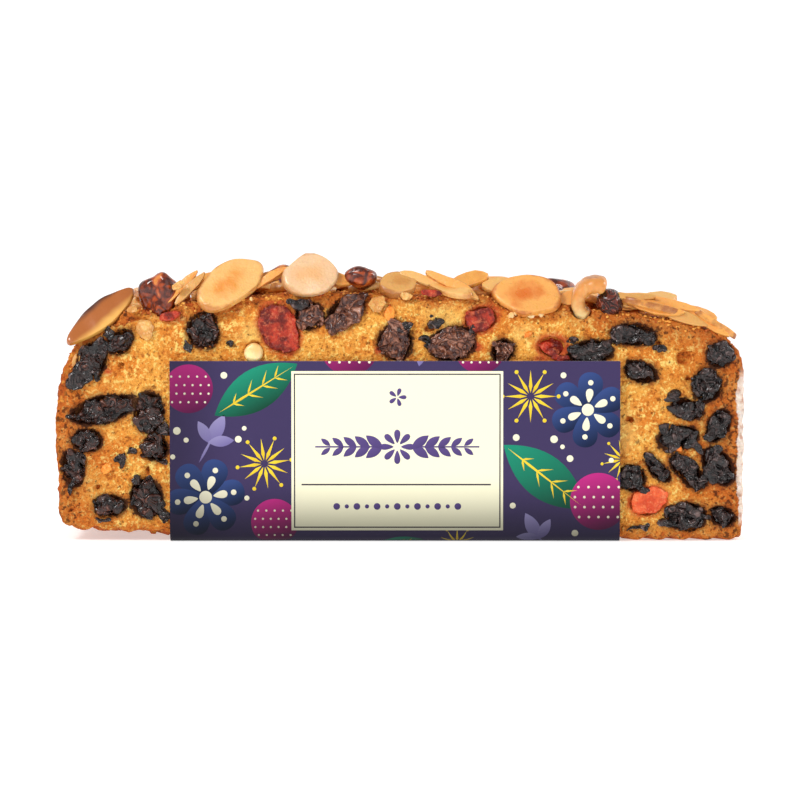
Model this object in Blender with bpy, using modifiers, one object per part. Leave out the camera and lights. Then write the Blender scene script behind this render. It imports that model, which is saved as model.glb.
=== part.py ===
"""A slab slice of fruit and nut cake in a U-shaped printed card sleeve.

Metres, +Z up. The cut face looks towards -Y and the length runs along X. The origin is the middle of
the footprint, on the surface that the sleeve's base lies on.
"""

import math

import bmesh
import bpy
from mathutils import Matrix, Vector, noise

MM = 0.001

# Driving sizes of the cake
CAKE_HALF_LENGTH = 82.3 * MM
CUT_FACE_Y = 23.4 * MM
CROWN_HEIGHT = 59.6 * MM
CROWN_PEAK_X = -8 * MM
CROWN_FALL = 6 * MM
CROWN_REACH = 70 * MM
BASE_Z = 0.8 * MM
LEFT_FOOT_LIFT = 1.7 * MM
LEFT_FOOT_FROM_X = -53 * MM
LEFT_FOOT_RAMP = 7 * MM

# Rounding of the cake's ends, as reach along X and along Z, and of its cut edges
LEFT_SHOULDER = (14 * MM, 21 * MM)
RIGHT_SHOULDER = (7 * MM, 9 * MM)
LEFT_FOOT = (7 * MM, 6 * MM)
RIGHT_FOOT = (2 * MM, 2.5 * MM)
CUT_EDGE = 1.3 * MM

# How deep the baked and the cut surfaces sink between their lumps, and the lumps' size
TOP_SINK = 1.4 * MM
END_SINK = 0.9 * MM
CUT_SINK = 0.35 * MM
LUMP_SIZE = 9 * MM
LUMP_CONTRAST = 0.6
GRID_STEP = 7.2 * MM
GRID_NEAR_EDGE = (1.3 * MM, 4 * MM)

# Driving sizes of the sleeve
CARD = 0.5 * MM
SLEEVE_LENGTH = 107 * MM
SLEEVE_MIDDLE_X = -1.2 * MM
SLEEVE_HEIGHT = 43 * MM
SLEEVE_HALF_DEPTH = 25.05 * MM
SLEEVE_FOLD = 2.6 * MM
FOLD_STEPS = 5

# How fruit sits in a cut face: its proud part and its hidden part, and how deep its creases run as a
# share of its size
FRUIT_PROUD = 0.7 * MM
FRUIT_HIDDEN = 3 * MM
RAISIN_CREASE = 0.34
SMOOTH_FRUIT_CREASE = 0.16
CREASES_ACROSS = 1.9
SEED_STEP = (3.7, 1.3)
SOCKET_GAP = 0.345 * MM

# Colours as 0 to 255 red, green and blue, with roughness
FINISHES = {
    "sponge": ((218, 150, 72), 0.85),
    "card": ((83, 70, 112), 0.5),
    "raisin": ((74, 46, 38), 0.4),
    "cherry": ((170, 58, 48), 0.3),
    "salmon_cherry": ((226, 108, 70), 0.3),
    "almond": ((244, 204, 150), 0.5),
    "toasted_almond": ((214, 150, 84), 0.45),
    "brown_almond": ((168, 104, 54), 0.4),
    "pecan": ((142, 78, 42), 0.35),
    "caramel": ((92, 42, 22), 0.3),
}

# Raisins in the cut face: middle X and Z, width and height, and turn, in millimetres and degrees
CUT_RAISINS = (
    (-73.0, 43.4, 7.2, 7.2, 20),
    (-66.4, 47.6, 7.6, 4.2, 42),
    (-70.6, 31.4, 17.6, 6.2, 13),
    (-59.8, 30.6, 7.4, 9.8, 0),
    (-74.6, 24.0, 7.0, 5.0, 0),
    (-78.0, 17.4, 5.4, 8.8, 8),
    (-58.2, 22.2, 6.2, 6.2, 30),
    (-60.4, 10.2, 7.8, 9.4, 10),
    (-69.2, 8.4, 8.0, 4.2, 4),
    (-46.6, 50.2, 7.4, 9.4, 10),
    (-21.6, 54.0, 6.8, 6.6, 0),
    (-12.8, 55.0, 12.4, 6.4, 50),
    (-1.0, 47.4, 8.4, 8.8, 0),
    (12.4, 47.0, 12.0, 8.0, 12),
    (24.4, 45.2, 4.6, 5.8, -20),
    (45.2, 45.0, 11.0, 5.2, 6),
    (55.8, 49.2, 11.4, 5.0, -4),
    (57.2, 40.4, 8.4, 4.4, -20),
    (76.0, 44.4, 6.4, 5.6, 40),
    (73.0, 37.0, 6.8, 7.4, 0),
    (68.4, 31.4, 8.0, 4.4, -20),
    (75.8, 27.6, 8.4, 4.4, 62),
    (66.2, 24.6, 10.0, 5.0, 14),
    (68.4, 16.6, 12.0, 4.4, -46),
    (75.8, 17.8, 10.4, 6.0, -56),
    (55.0, 15.0, 6.6, 5.6, 0),
    (61.6, 16.8, 7.6, 2.8, -42),
    (68.2, 5.8, 9.6, 6.0, 4),
    (76.8, 5.8, 6.0, 4.0, -12),
)

# Cherries in the cut face, likewise, each with its finish
CUT_CHERRIES = (
    (-28.6, 50.6, 8.8, 12.8, 24, "cherry"),
    (19.2, 52.8, 7.4, 5.4, 20, "cherry"),
    (36.0, 46.4, 6.6, 4.4, 0, "cherry"),
    (59.0, 9.6, 8.8, 5.8, 20, "salmon_cherry"),
)

# The halved hazelnut in the cut face, likewise
CUT_HAZELNUT = (-34.8, 45.0, 4.2, 4.4, 0)

# An almond slice's form, as shares of its own width: the rim's rounding, the narrowing to its point and
# the bow across its length
ALMOND_SIDES = 10
ALMOND_RIM = 0.07
ALMOND_NARROWING = 0.42
ALMOND_BOW = 0.06

# Almond slices on the baked top: middle X, Y and Z, length, width and thickness, lean towards the
# cut face, spin in the slice's own plane and yaw, in millimetres and degrees, and finish
TOP_ALMONDS = (
    (-71.0, -20.2, 53.6, 21.5, 6.8, 1.9, 60, 44, 0, "brown_almond"),
    (-40.2, -20.6, 61.0, 18.6, 11.2, 2.0, 58, 40, 0, "almond"),
    (-21.2, -20.2, 62.9, 13.6, 11.4, 2.0, 62, 8, 0, "almond"),
    (-0.4, -20.6, 60.8, 9.4, 6.6, 2.2, 48, 0, 6, "almond"),
    (11.0, -20.6, 60.4, 13.6, 6.0, 1.5, 34, -34, 0, "almond"),
    (21.4, -12.6, 59.8, 15.0, 10.0, 1.6, 26, 12, 20, "toasted_almond"),
    (30.2, -20.9, 58.2, 17.0, 11.4, 2.0, 56, 172, 0, "toasted_almond"),
    (60.4, -19.6, 55.6, 17.0, 8.6, 1.6, 14, -90, 90, "toasted_almond"),
    (66.0, -8.4, 54.0, 17.0, 10.0, 1.6, 8, -60, 80, "toasted_almond"),
    (75.0, -19.8, 51.6, 12.0, 6.6, 1.5, 33, -90, 90, "toasted_almond"),
    (-58.0, -5.0, 58.0, 19.0, 11.0, 1.8, 4, 130, 0, "toasted_almond"),
    (-38.0, -5.6, 60.0, 18.0, 11.0, 1.8, -6, 30, 0, "almond"),
    (-18.0, 2.0, 60.6, 19.0, 11.4, 1.9, 5, 70, 0, "toasted_almond"),
    (40.0, -6.0, 57.4, 18.0, 11.0, 1.8, -4, 64, 0, "almond"),
    (22.0, 9.0, 59.6, 18.0, 11.0, 1.8, -8, 12, 0, "almond"),
    (55.0, 11.0, 56.2, 19.0, 11.0, 1.8, -5, 140, 0, "toasted_almond"),
    (-48.0, 14.0, 58.4, 18.0, 11.0, 1.8, -6, 100, 0, "almond"),
    (4.0, -3.0, 60.4, 17.0, 11.0, 1.8, 8, 155, 0, "almond"),
)

# A pecan's lobes round its length, and its ridges along it: the number of lobes, the ridges' wave in
# radians over the whole length, and how high each stands as a share of the width
PECAN_SIDES = 11
PECAN_RINGS = 7
PECAN_LOBES = 3
PECAN_LOBE = 0.13
PECAN_RIDGE_TURN = 11
PECAN_RIDGE = 0.12

# Pecan pieces on the baked top: middle X, Y and Z, length, width and height, yaw
TOP_PECANS = (
    (-57.4, -19.2, 58.4, 9.4, 8.2, 10.4, 0),
    (-9.4, -19.6, 62.6, 7.8, 7.4, 5.6, 10),
    (-28.0, 15.0, 61.2, 14.0, 9.0, 6.4, 30),
    (38.0, 16.0, 58.6, 13.0, 8.6, 6.4, 120),
)

# The curled almond offcut at the front edge of the top, and the caramel-dark kernel in its open side
CURL_PLACE = (46.6, -19.8, 56.6)
CURL_RADIUS = 4.3 * MM
CURL_WIDTH = 6.4 * MM
CURL_THICKNESS = 3.6 * MM
CURL_FROM = math.radians(62)
CURL_SWEEP = math.radians(176)
CURL_STEPS = 8
CURL_OVAL = 0.1
CURL_LEAN = math.radians(12)
KERNEL_SIZE = (4.8 * MM, 5.0 * MM, 5.4 * MM)
KERNEL_OUT = Vector((3.4 * MM, 0, -0.1 * MM))

# Small almond slivers fused to the top, dealt out by a sunflower rule over its rectangle
SLIVERS = 22
SLIVER_SIZE = (11 * MM, 6.6 * MM, 1.7 * MM)
SLIVER_SIDES = 8
SLIVER_FIELD = (72 * MM, 19 * MM)
SLIVER_SINK = 0.49 * MM
SLIVER_LEAN = 0.5
LEAN_STEP = 1.7
SPIN_STEP = 0.9
GOLDEN_TURN = math.radians(137.508)


def clear_scene():
    """Removes whatever the file held."""
    for thing in list(bpy.data.objects):
        bpy.data.objects.remove(thing, do_unlink=True)


def new_collection(name):
    """A collection linked to the scene."""
    collection = bpy.data.collections.new(name)
    bpy.context.scene.collection.children.link(collection)
    return collection


def linear(channel):
    """One 0 to 255 display channel as linear light."""
    share = channel / 255
    if share <= 0.04045:
        return share / 12.92
    return ((share + 0.055) / 1.055) ** 2.4


def finish(name):
    """The named finish as a material, made once."""
    known = bpy.data.materials.get(name)
    if known:
        return known
    colour, roughness = FINISHES[name]
    material = bpy.data.materials.new(name)
    material.use_nodes = True
    shader = material.node_tree.nodes["Principled BSDF"]
    shader.inputs["Base Color"].default_value = (*(linear(channel) for channel in colour), 1)
    shader.inputs["Roughness"].default_value = roughness
    shader.inputs["Metallic"].default_value = 0
    return material


def as_object(name, shape, collection, finish_name):
    """Turns a bmesh into a smooth-shaded object of the collection."""
    mesh = bpy.data.meshes.new(name)
    shape.to_mesh(mesh)
    shape.free()
    mesh.shade_smooth()
    mesh.set_sharp_from_angle(angle=math.radians(45))
    mesh.materials.append(finish(finish_name))
    thing = bpy.data.objects.new(name, mesh)
    collection.objects.link(thing)
    return thing


def grid_lines(low, high):
    """Where the block's grid runs between two faces: close to its edges, then in even steps."""
    first = low + GRID_NEAR_EDGE[-1]
    last = high - GRID_NEAR_EDGE[-1]
    steps = round((last - first) / GRID_STEP)
    inner = [first + (last - first) * step / steps for step in range(1, steps)]
    near_low = [low + distance for distance in GRID_NEAR_EDGE]
    near_high = [high - distance for distance in GRID_NEAR_EDGE]
    return near_low + inner + near_high


def crown(x):
    """Height of the baked top at x, before its lumps."""
    return CROWN_HEIGHT - CROWN_FALL * ((x - CROWN_PEAK_X) / CROWN_REACH) ** 2


def underside(x):
    """Height of the cake's underside at x: flat, but lifted where the left end leaves the sleeve."""
    into_foot = (LEFT_FOOT_FROM_X - x) / LEFT_FOOT_RAMP
    return BASE_Z + LEFT_FOOT_LIFT * min(max(into_foot, 0.0), 1.0)


def onto_rounded_block(point):
    """Moves a point of the square block's surface onto the rounded, crowned one."""
    height = (point.z - BASE_Z) / (CROWN_HEIGHT - BASE_Z)
    bottom = underside(point.x)
    top = crown(point.x)
    z = bottom + height * (top - bottom)
    if height > 0.5:
        reach_x, reach_z = LEFT_SHOULDER if point.x < 0 else RIGHT_SHOULDER
    else:
        reach_x, reach_z = LEFT_FOOT if point.x < 0 else RIGHT_FOOT
    reach = Vector((reach_x, CUT_EDGE, reach_z))
    core = Vector((
        min(max(point.x, -CAKE_HALF_LENGTH + reach.x), CAKE_HALF_LENGTH - reach.x),
        min(max(point.y, -CUT_FACE_Y + reach.y), CUT_FACE_Y - reach.y),
        min(max(z, bottom + reach.z), top - reach.z),
    ))
    away = Vector((
        (point.x - core.x) / reach.x,
        (point.y - core.y) / reach.y,
        (z - core.z) / reach.z,
    ))
    if away.length > 1:
        away.normalize()
    return core + Vector((away.x * reach.x, away.y * reach.y, away.z * reach.z))


def sink_depth(point, normal):
    """How far the surface sinks at a point: deep on the baked top and ends, shallow on a cut."""
    if normal.z < -0.5:
        return 0.0
    lumps = noise.noise(point / LUMP_SIZE) + noise.noise(point * 2 / LUMP_SIZE) / 2
    share = min(max(0.5 + LUMP_CONTRAST * lumps, 0.0), 1.0)
    if abs(normal.y) > 0.7:
        return CUT_SINK * share
    return (TOP_SINK * max(normal.z, 0.0) + END_SINK * abs(normal.x)) * share


def make_cake_block(collection):
    """The sponge as a cube, cut into a grid and moved onto its rounded, lumpy form."""
    shape = bmesh.new()
    size = Vector((2 * CAKE_HALF_LENGTH, 2 * CUT_FACE_Y, CROWN_HEIGHT - BASE_Z))
    centre = Vector((0, 0, (CROWN_HEIGHT + BASE_Z) / 2))
    bmesh.ops.create_cube(shape, size=1, matrix=Matrix.Translation(centre) @ Matrix.Diagonal(size).to_4x4())
    limits = (
        (-CAKE_HALF_LENGTH, CAKE_HALF_LENGTH),
        (-CUT_FACE_Y, CUT_FACE_Y),
        (BASE_Z, CROWN_HEIGHT),
    )
    for axis, (low, high) in enumerate(limits):
        normal = Vector([1.0 if index == axis else 0.0 for index in range(3)])
        for line in grid_lines(low, high):
            everything = shape.verts[:] + shape.edges[:] + shape.faces[:]
            bmesh.ops.bisect_plane(shape, geom=everything, plane_co=normal * line, plane_no=normal)
    for corner in shape.verts:
        corner.co = onto_rounded_block(corner.co)
    shape.normal_update()
    sinks = [(corner, corner.normal * -sink_depth(corner.co, corner.normal)) for corner in shape.verts]
    for corner, sink in sinks:
        corner.co += sink
    return as_object("cake", shape, collection, "sponge")


def turned(yaw=0.0, lean=0.0, spin=0.0):
    """A turn by spin about Z, then a lean about X towards the cut face, then a yaw about Z."""
    turns = (Matrix.Rotation(yaw, 3, "Z"), Matrix.Rotation(lean, 3, "X"), Matrix.Rotation(spin, 3, "Z"))
    return turns[0] @ turns[1] @ turns[2]


def place(thing, position, turn):
    """Puts an object at a position with a turn."""
    thing.location = position
    thing.rotation_euler = turn.to_euler()


def fruit_shape(width, height, seed, crease):
    """A lump of fruit sliced at the cut face: a low front and a deeper hidden back."""
    shape = bmesh.new()
    bmesh.ops.create_icosphere(shape, subdivisions=2, radius=1)
    elsewhere = Vector((seed * SEED_STEP[0], seed * SEED_STEP[1], 0.5))
    for corner in shape.verts:
        fold = noise.noise(corner.co * CREASES_ACROSS + elsewhere)
        corner.co *= 1 - crease * abs(fold)
        depth = FRUIT_PROUD if corner.co.y < 0 else FRUIT_HIDDEN
        corner.co = Vector((corner.co.x * width / 2, corner.co.y * depth, corner.co.z * height / 2))
    return shape


def almond_shape(length, width, thickness, sides):
    """A flat almond slice about the origin, pointed at +X, bowed and rounded at its rim."""
    shape = bmesh.new()
    bmesh.ops.create_cone(shape, cap_ends=True, segments=sides, radius1=0.5, radius2=0.5, depth=0.5)
    caps = [face for face in shape.faces if abs(face.normal.z) > 0.5]
    bmesh.ops.inset_region(shape, faces=caps, thickness=ALMOND_RIM, use_even_offset=True)
    for cap in caps:
        for corner in cap.verts:
            corner.co.z = math.copysign(0.5, corner.co.z)
    for corner in shape.verts:
        along = corner.co.x * 2
        narrowing = 1 - ALMOND_NARROWING * max(along, 0.0) ** 2
        bow = ALMOND_BOW * width * (1 - along ** 2)
        corner.co = Vector((
            corner.co.x * length,
            corner.co.y * width * narrowing,
            corner.co.z * thickness + bow,
        ))
    return shape


def pecan_shape(length, width, height, seed):
    """A broken pecan about the origin, its lobes running along X."""
    shape = bmesh.new()
    upright = Matrix.Rotation(math.radians(90), 4, "Y")
    bmesh.ops.create_uvsphere(
        shape, u_segments=PECAN_SIDES, v_segments=PECAN_RINGS, radius=0.5, matrix=upright
    )
    for corner in shape.verts:
        around = math.atan2(corner.co.z, corner.co.y)
        lobes = 1 + PECAN_LOBE * math.cos(PECAN_LOBES * around + seed)
        lobes += PECAN_RIDGE * math.sin(PECAN_RIDGE_TURN * corner.co.x + seed)
        corner.co = Vector((
            corner.co.x * length,
            corner.co.y * width * lobes,
            corner.co.z * height * lobes,
        ))
    return shape


def curl_shape():
    """A curled strip of almond: a flat grid rolled round an arc in the XZ plane."""
    shape = bmesh.new()
    bmesh.ops.create_grid(shape, x_segments=CURL_STEPS, y_segments=1, size=0.5)
    for corner in shape.verts:
        angle = CURL_FROM + CURL_SWEEP * (corner.co.x + 0.5)
        radius = CURL_RADIUS * (1 + CURL_OVAL * math.sin(angle))
        corner.co = Vector((
            radius * math.cos(angle),
            corner.co.y * CURL_WIDTH,
            radius * math.sin(angle),
        ))
    return shape


def kernel_shape():
    """A plain rounded kernel."""
    shape = bmesh.new()
    size = Matrix.Diagonal(KERNEL_SIZE).to_4x4()
    bmesh.ops.create_icosphere(shape, subdivisions=2, radius=0.5, matrix=size)
    return shape


def make_socket(thing, sockets):
    """A cutter a gap larger all round than the thing that will lie in it."""
    shape = bmesh.new()
    source = thing.evaluated_get(bpy.context.evaluated_depsgraph_get())
    shape.from_mesh(source.to_mesh())
    shape.normal_update()
    moves = [(corner, corner.normal * SOCKET_GAP) for corner in shape.verts]
    for corner, move in moves:
        corner.co += move
    socket = as_object("socket_" + thing.name, shape, sockets, "sponge")
    socket.matrix_world = thing.matrix_world
    socket.hide_render = True
    socket.display_type = "WIRE"


def make_cut_fruit(collection):
    """The raisins, cherries and hazelnut that show in the cut face."""
    rows = [("raisin_%02d" % (index + 1), row + ("raisin",)) for index, row in enumerate(CUT_RAISINS)]
    rows += [("cherry_%d" % (index + 1), row) for index, row in enumerate(CUT_CHERRIES)]
    rows += [("hazelnut_half", CUT_HAZELNUT + ("almond",))]
    for seed, (name, (x, z, width, height, turn, finish_name)) in enumerate(rows):
        crease = RAISIN_CREASE if finish_name == "raisin" else SMOOTH_FRUIT_CREASE
        shape = fruit_shape(width * MM, height * MM, seed, crease)
        thing = as_object(name, shape, collection, finish_name)
        facing = Matrix.Rotation(math.radians(-turn), 3, "Y")
        place(thing, Vector((x * MM, -CUT_FACE_Y, z * MM)), facing)


def make_toppings(collection):
    """The almond slices, pecan pieces and curled offcut that lie on the baked top."""
    for index, row in enumerate(TOP_ALMONDS):
        x, y, z, length, width, thickness, lean, spin, yaw, finish_name = row
        shape = almond_shape(length * MM, width * MM, thickness * MM, ALMOND_SIDES)
        thing = as_object("almond_%02d" % (index + 1), shape, collection, finish_name)
        turn = turned(math.radians(yaw), math.radians(lean), math.radians(spin))
        place(thing, Vector((x, y, z)) * MM, turn)
    for index, (x, y, z, length, width, height, yaw) in enumerate(TOP_PECANS):
        shape = pecan_shape(length * MM, width * MM, height * MM, index)
        thing = as_object("pecan_%d" % (index + 1), shape, collection, "pecan")
        place(thing, Vector((x, y, z)) * MM, turned(math.radians(yaw)))
    curl = as_object("almond_curl", curl_shape(), collection, "almond")
    wall = curl.modifiers.new("wall", "SOLIDIFY")
    wall.thickness = CURL_THICKNESS
    wall.offset = 0
    place(curl, Vector(CURL_PLACE) * MM, turned(lean=CURL_LEAN))
    kernel = as_object("caramel_kernel", kernel_shape(), collection, "caramel")
    place(kernel, Vector(CURL_PLACE) * MM + KERNEL_OUT, Matrix.Identity(3))


def make_slivers(collection):
    """Slivers of almond sunk in the baked top, to be fused to it."""
    for index in range(SLIVERS):
        reach = math.sqrt((index + 0.5) / SLIVERS)
        angle = index * GOLDEN_TURN
        x = SLIVER_FIELD[0] * reach * math.cos(angle)
        y = SLIVER_FIELD[1] * reach * math.sin(angle)
        shape = almond_shape(*SLIVER_SIZE, SLIVER_SIDES)
        thing = as_object("sliver_%02d" % index, shape, collection, "almond")
        height = onto_rounded_block(Vector((x, y, CROWN_HEIGHT))).z
        lean = SLIVER_LEAN * math.sin(index * LEAN_STEP)
        place(thing, Vector((x, y, height - SLIVER_SINK)), turned(angle, lean, index * SPIN_STEP))


def apply_boolean(thing, operation, collection):
    """Joins or cuts the thing with all of a collection, for good."""
    modifier = thing.modifiers.new(operation.lower(), "BOOLEAN")
    modifier.operation = operation
    modifier.operand_type = "COLLECTION"
    modifier.collection = collection
    modifier.solver = "EXACT"
    bpy.context.view_layer.update()
    with bpy.context.temp_override(object=thing, active_object=thing):
        bpy.ops.object.modifier_apply(modifier=modifier.name)


def drop_scraps(thing):
    """Keeps only the largest closed body of an object's mesh."""
    shape = bmesh.new()
    shape.from_mesh(thing.data)
    unseen = set(shape.verts)
    bodies = []
    while unseen:
        body = {unseen.pop()}
        edge_of_body = list(body)
        while edge_of_body:
            corner = edge_of_body.pop()
            for edge in corner.link_edges:
                other = edge.other_vert(corner)
                if other in unseen:
                    unseen.discard(other)
                    body.add(other)
                    edge_of_body.append(other)
        bodies.append(body)
    bodies.sort(key=len)
    scraps = [corner for body in bodies[:-1] for corner in body]
    bmesh.ops.delete(shape, geom=scraps, context="VERTS")
    shape.to_mesh(thing.data)
    shape.free()


def sleeve_path():
    """Points of the sleeve's outer outline in the YZ plane, from the front's top edge to the back's."""
    front = []
    corner_y = SLEEVE_HALF_DEPTH - SLEEVE_FOLD
    for step in range(FOLD_STEPS + 1):
        angle = math.radians(90) * step / FOLD_STEPS
        front.append((
            -corner_y - SLEEVE_FOLD * math.cos(angle),
            SLEEVE_FOLD - SLEEVE_FOLD * math.sin(angle),
        ))
    front = [(-SLEEVE_HALF_DEPTH, SLEEVE_HEIGHT)] + front
    back = [(-y, z) for y, z in reversed(front)]
    return front + back


def make_sleeve(collection):
    """The card sleeve: a strip folded up at the front and back of the base, given its thickness."""
    path = sleeve_path()
    shape = bmesh.new()
    bmesh.ops.create_grid(shape, x_segments=1, y_segments=len(path) - 1, size=0.5)
    for corner in shape.verts:
        y, z = path[round((corner.co.y + 0.5) * (len(path) - 1))]
        corner.co = Vector((SLEEVE_MIDDLE_X + corner.co.x * SLEEVE_LENGTH, y, z))
    bmesh.ops.recalc_face_normals(shape, faces=shape.faces)
    if sum(face.normal.z for face in shape.faces) > 0:
        bmesh.ops.reverse_faces(shape, faces=shape.faces)
    sleeve = as_object("sleeve", shape, collection, "card")
    wall = sleeve.modifiers.new("card", "SOLIDIFY")
    wall.thickness = CARD
    wall.offset = -1
    wall.use_even_offset = True


clear_scene()
parts = new_collection("fruit_cake_slice")
cutters = new_collection("sockets")
fused = new_collection("fused_slivers")

make_cut_fruit(parts)
make_toppings(parts)
bpy.context.view_layer.update()
for piece in list(parts.objects):
    make_socket(piece, cutters)

cake = make_cake_block(parts)
make_slivers(fused)
bpy.context.view_layer.update()
apply_boolean(cake, "UNION", fused)
for sliver in list(fused.objects):
    bpy.data.objects.remove(sliver, do_unlink=True)
bpy.data.collections.remove(fused)
apply_boolean(cake, "DIFFERENCE", cutters)
drop_scraps(cake)

make_sleeve(parts)
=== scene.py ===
"""A slab slice of fruit and nut cake in its printed card sleeve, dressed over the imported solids.

Metres, +Z up, cut face towards -Y. Each section makes one piece, or one group of like pieces.
"""

import math
import random

import bmesh
import bpy
import numpy
from mathutils import Matrix, Vector
from mathutils.bvhtree import BVHTree


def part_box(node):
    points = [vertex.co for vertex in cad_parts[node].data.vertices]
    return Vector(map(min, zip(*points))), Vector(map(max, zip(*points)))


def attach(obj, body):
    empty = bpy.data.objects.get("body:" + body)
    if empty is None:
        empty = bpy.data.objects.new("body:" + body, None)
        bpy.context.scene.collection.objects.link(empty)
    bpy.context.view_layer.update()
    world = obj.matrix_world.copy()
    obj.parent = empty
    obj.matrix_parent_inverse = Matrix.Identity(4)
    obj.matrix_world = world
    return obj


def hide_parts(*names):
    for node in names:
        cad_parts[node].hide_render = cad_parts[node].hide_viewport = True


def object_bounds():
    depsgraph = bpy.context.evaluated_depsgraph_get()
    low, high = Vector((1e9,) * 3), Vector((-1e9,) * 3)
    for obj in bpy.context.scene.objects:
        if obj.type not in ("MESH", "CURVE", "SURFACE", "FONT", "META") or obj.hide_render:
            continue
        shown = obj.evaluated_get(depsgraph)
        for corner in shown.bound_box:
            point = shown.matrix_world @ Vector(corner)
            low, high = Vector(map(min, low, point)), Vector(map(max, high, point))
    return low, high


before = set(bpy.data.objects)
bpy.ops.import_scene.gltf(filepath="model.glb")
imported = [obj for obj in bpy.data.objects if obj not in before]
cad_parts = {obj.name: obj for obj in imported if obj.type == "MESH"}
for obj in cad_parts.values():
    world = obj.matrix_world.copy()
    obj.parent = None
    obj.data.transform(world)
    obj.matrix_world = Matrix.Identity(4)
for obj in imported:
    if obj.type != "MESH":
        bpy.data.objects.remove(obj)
cad_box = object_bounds()
MM = 0.001


# The studio
# A sweep of white paper under and behind the slice, a large soft light from the upper left, a weaker one
# from the right that catches the end, and a long lens level with the cut face, as in the photograph.

PIXEL = 0.2378 * MM
PHOTO_SIZE = 800
PHOTO_BASE_LINE = 541.5
VIEW_ELEVATION = math.radians(3.2)
VIEW_DISTANCE = 0.95
CUT_FACE_Y = 23.4 * MM
SWEEP_COLOUR = (0.82, 0.82, 0.82, 1)
SWEEP_GLOW = 0.46
SWEEP_HALF_WIDTH = 2.2
SWEEP_FRONT = -1.6
SWEEP_BACK = 0.9
SWEEP_BEND = 0.5
SWEEP_BEND_STEPS = 16
SWEEP_RISE = 1.2
KEY_LIGHT = {"place": (-0.42, -0.50, 0.55), "size": 0.22, "watts": 3.6}
FILL_LIGHT = {"place": (0.5, -0.75, 0.22), "size": 0.6, "watts": 0.85}
EDGE_LIGHT = {"place": (0.55, 0.10, 0.25), "size": 0.18, "watts": 1.4}
WORLD_STRENGTH = 0.52

scene = bpy.context.scene
scene.view_settings.view_transform = "Standard"
world = bpy.data.worlds.new("studio")
world.use_nodes = True
world.node_tree.nodes["Background"].inputs["Color"].default_value = (1, 1, 1, 1)
world.node_tree.nodes["Background"].inputs["Strength"].default_value = WORLD_STRENGTH
scene.world = world


def deselect():
    if bpy.context.mode != "OBJECT":
        bpy.ops.object.mode_set(mode="OBJECT")
    bpy.ops.object.select_all(action="DESELECT")


def pick(piece):
    """Makes one object the only selected and active one."""
    deselect()
    piece.select_set(True)
    bpy.context.view_layer.objects.active = piece


def soft_light(name, light, target):
    """A square area light at its place, turned to the target."""
    data = bpy.data.lights.new(name, "AREA")
    data.shape = "SQUARE"
    data.size = light["size"]
    data.energy = light["watts"]
    lamp = bpy.data.objects.new(name, data)
    scene.collection.objects.link(lamp)
    lamp.location = light["place"]
    lamp.rotation_euler = (target - lamp.location).to_track_quat("-Z", "Y").to_euler()


photo_middle = Vector((0, -CUT_FACE_Y, (PHOTO_BASE_LINE - PHOTO_SIZE / 2) * PIXEL))
soft_light("key", KEY_LIGHT, photo_middle)
soft_light("fill", FILL_LIGHT, photo_middle)
soft_light("edge", EDGE_LIGHT, photo_middle)

camera_data = bpy.data.cameras.new("camera")
camera_data.sensor_width = 36
camera_data.lens = camera_data.sensor_width * VIEW_DISTANCE / (PHOTO_SIZE * PIXEL)
camera_data.clip_start = 0.05
camera = bpy.data.objects.new("camera", camera_data)
scene.collection.objects.link(camera)
backward = Vector((0, -math.cos(VIEW_ELEVATION), math.sin(VIEW_ELEVATION)))
camera.location = photo_middle + backward * VIEW_DISTANCE
camera.rotation_euler = (-backward).to_track_quat("-Z", "Y").to_euler()
scene.camera = camera


def principled(name, **constants):
    """A new node material, its tree, and its Principled shader with plain constants on its sockets.

    A constant has its socket's name, with underscores for the spaces.
    """
    made = bpy.data.materials.new(name)
    made.use_nodes = True
    shader = made.node_tree.nodes["Principled BSDF"]
    for socket, value in constants.items():
        shader.inputs[socket.replace("_", " ")].default_value = value
    return made, made.node_tree, shader


def start_piece(name, add, **settings):
    """A new piece started from a primitive, which is then all that is selected."""
    deselect()
    add(**settings)
    bpy.context.object.name = name
    return bpy.context.object


def pick_edges(piece, chosen):
    """Selects, in edit mode, just the edges whose two ends the test chooses."""
    bpy.ops.mesh.select_mode(type="EDGE")
    bpy.ops.mesh.select_all(action="DESELECT")
    shape = bmesh.from_edit_mesh(piece.data)
    for edge in shape.edges:
        edge.select_set(all(chosen(corner.co) for corner in edge.verts))
    bmesh.update_edit_mesh(piece.data)


sweep = start_piece("sweep", bpy.ops.mesh.primitive_plane_add, size=2)
bpy.ops.object.mode_set(mode="EDIT")
bpy.ops.transform.resize(value=(SWEEP_HALF_WIDTH, (SWEEP_BACK - SWEEP_FRONT) / 2, 1))
bpy.ops.transform.translate(value=(0, (SWEEP_BACK + SWEEP_FRONT) / 2, 0))
pick_edges(sweep, lambda point: point.y > SWEEP_BACK - MM)
bpy.ops.mesh.spin(
    steps=SWEEP_BEND_STEPS, angle=math.radians(-90), center=(0, SWEEP_BACK, SWEEP_BEND), axis=(1, 0, 0),
)
bpy.ops.mesh.extrude_region_move(TRANSFORM_OT_translate={"value": (0, 0, SWEEP_RISE)})
bpy.ops.object.mode_set(mode="OBJECT")
sweep.data.shade_smooth()
sweep_paper = principled(
    "sweep_paper", Roughness=0.9, Specular_IOR_Level=0.1, Base_Color=SWEEP_COLOUR,
    Emission_Color=(1, 1, 1, 1), Emission_Strength=SWEEP_GLOW,
)[0]
sweep.data.materials.append(sweep_paper)


# The sponge
# A firm butter cake, golden where it is cut and browned where it met the tin and the oven's heat. The
# crumb is a fine open foam, so the cut faces are rough with small pores, and fruit stains it. Its right
# end is pale in a thin band, and its underside is scalloped by the folds of its baking paper.

SPONGE_VOXEL = 0.58 * MM

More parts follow.
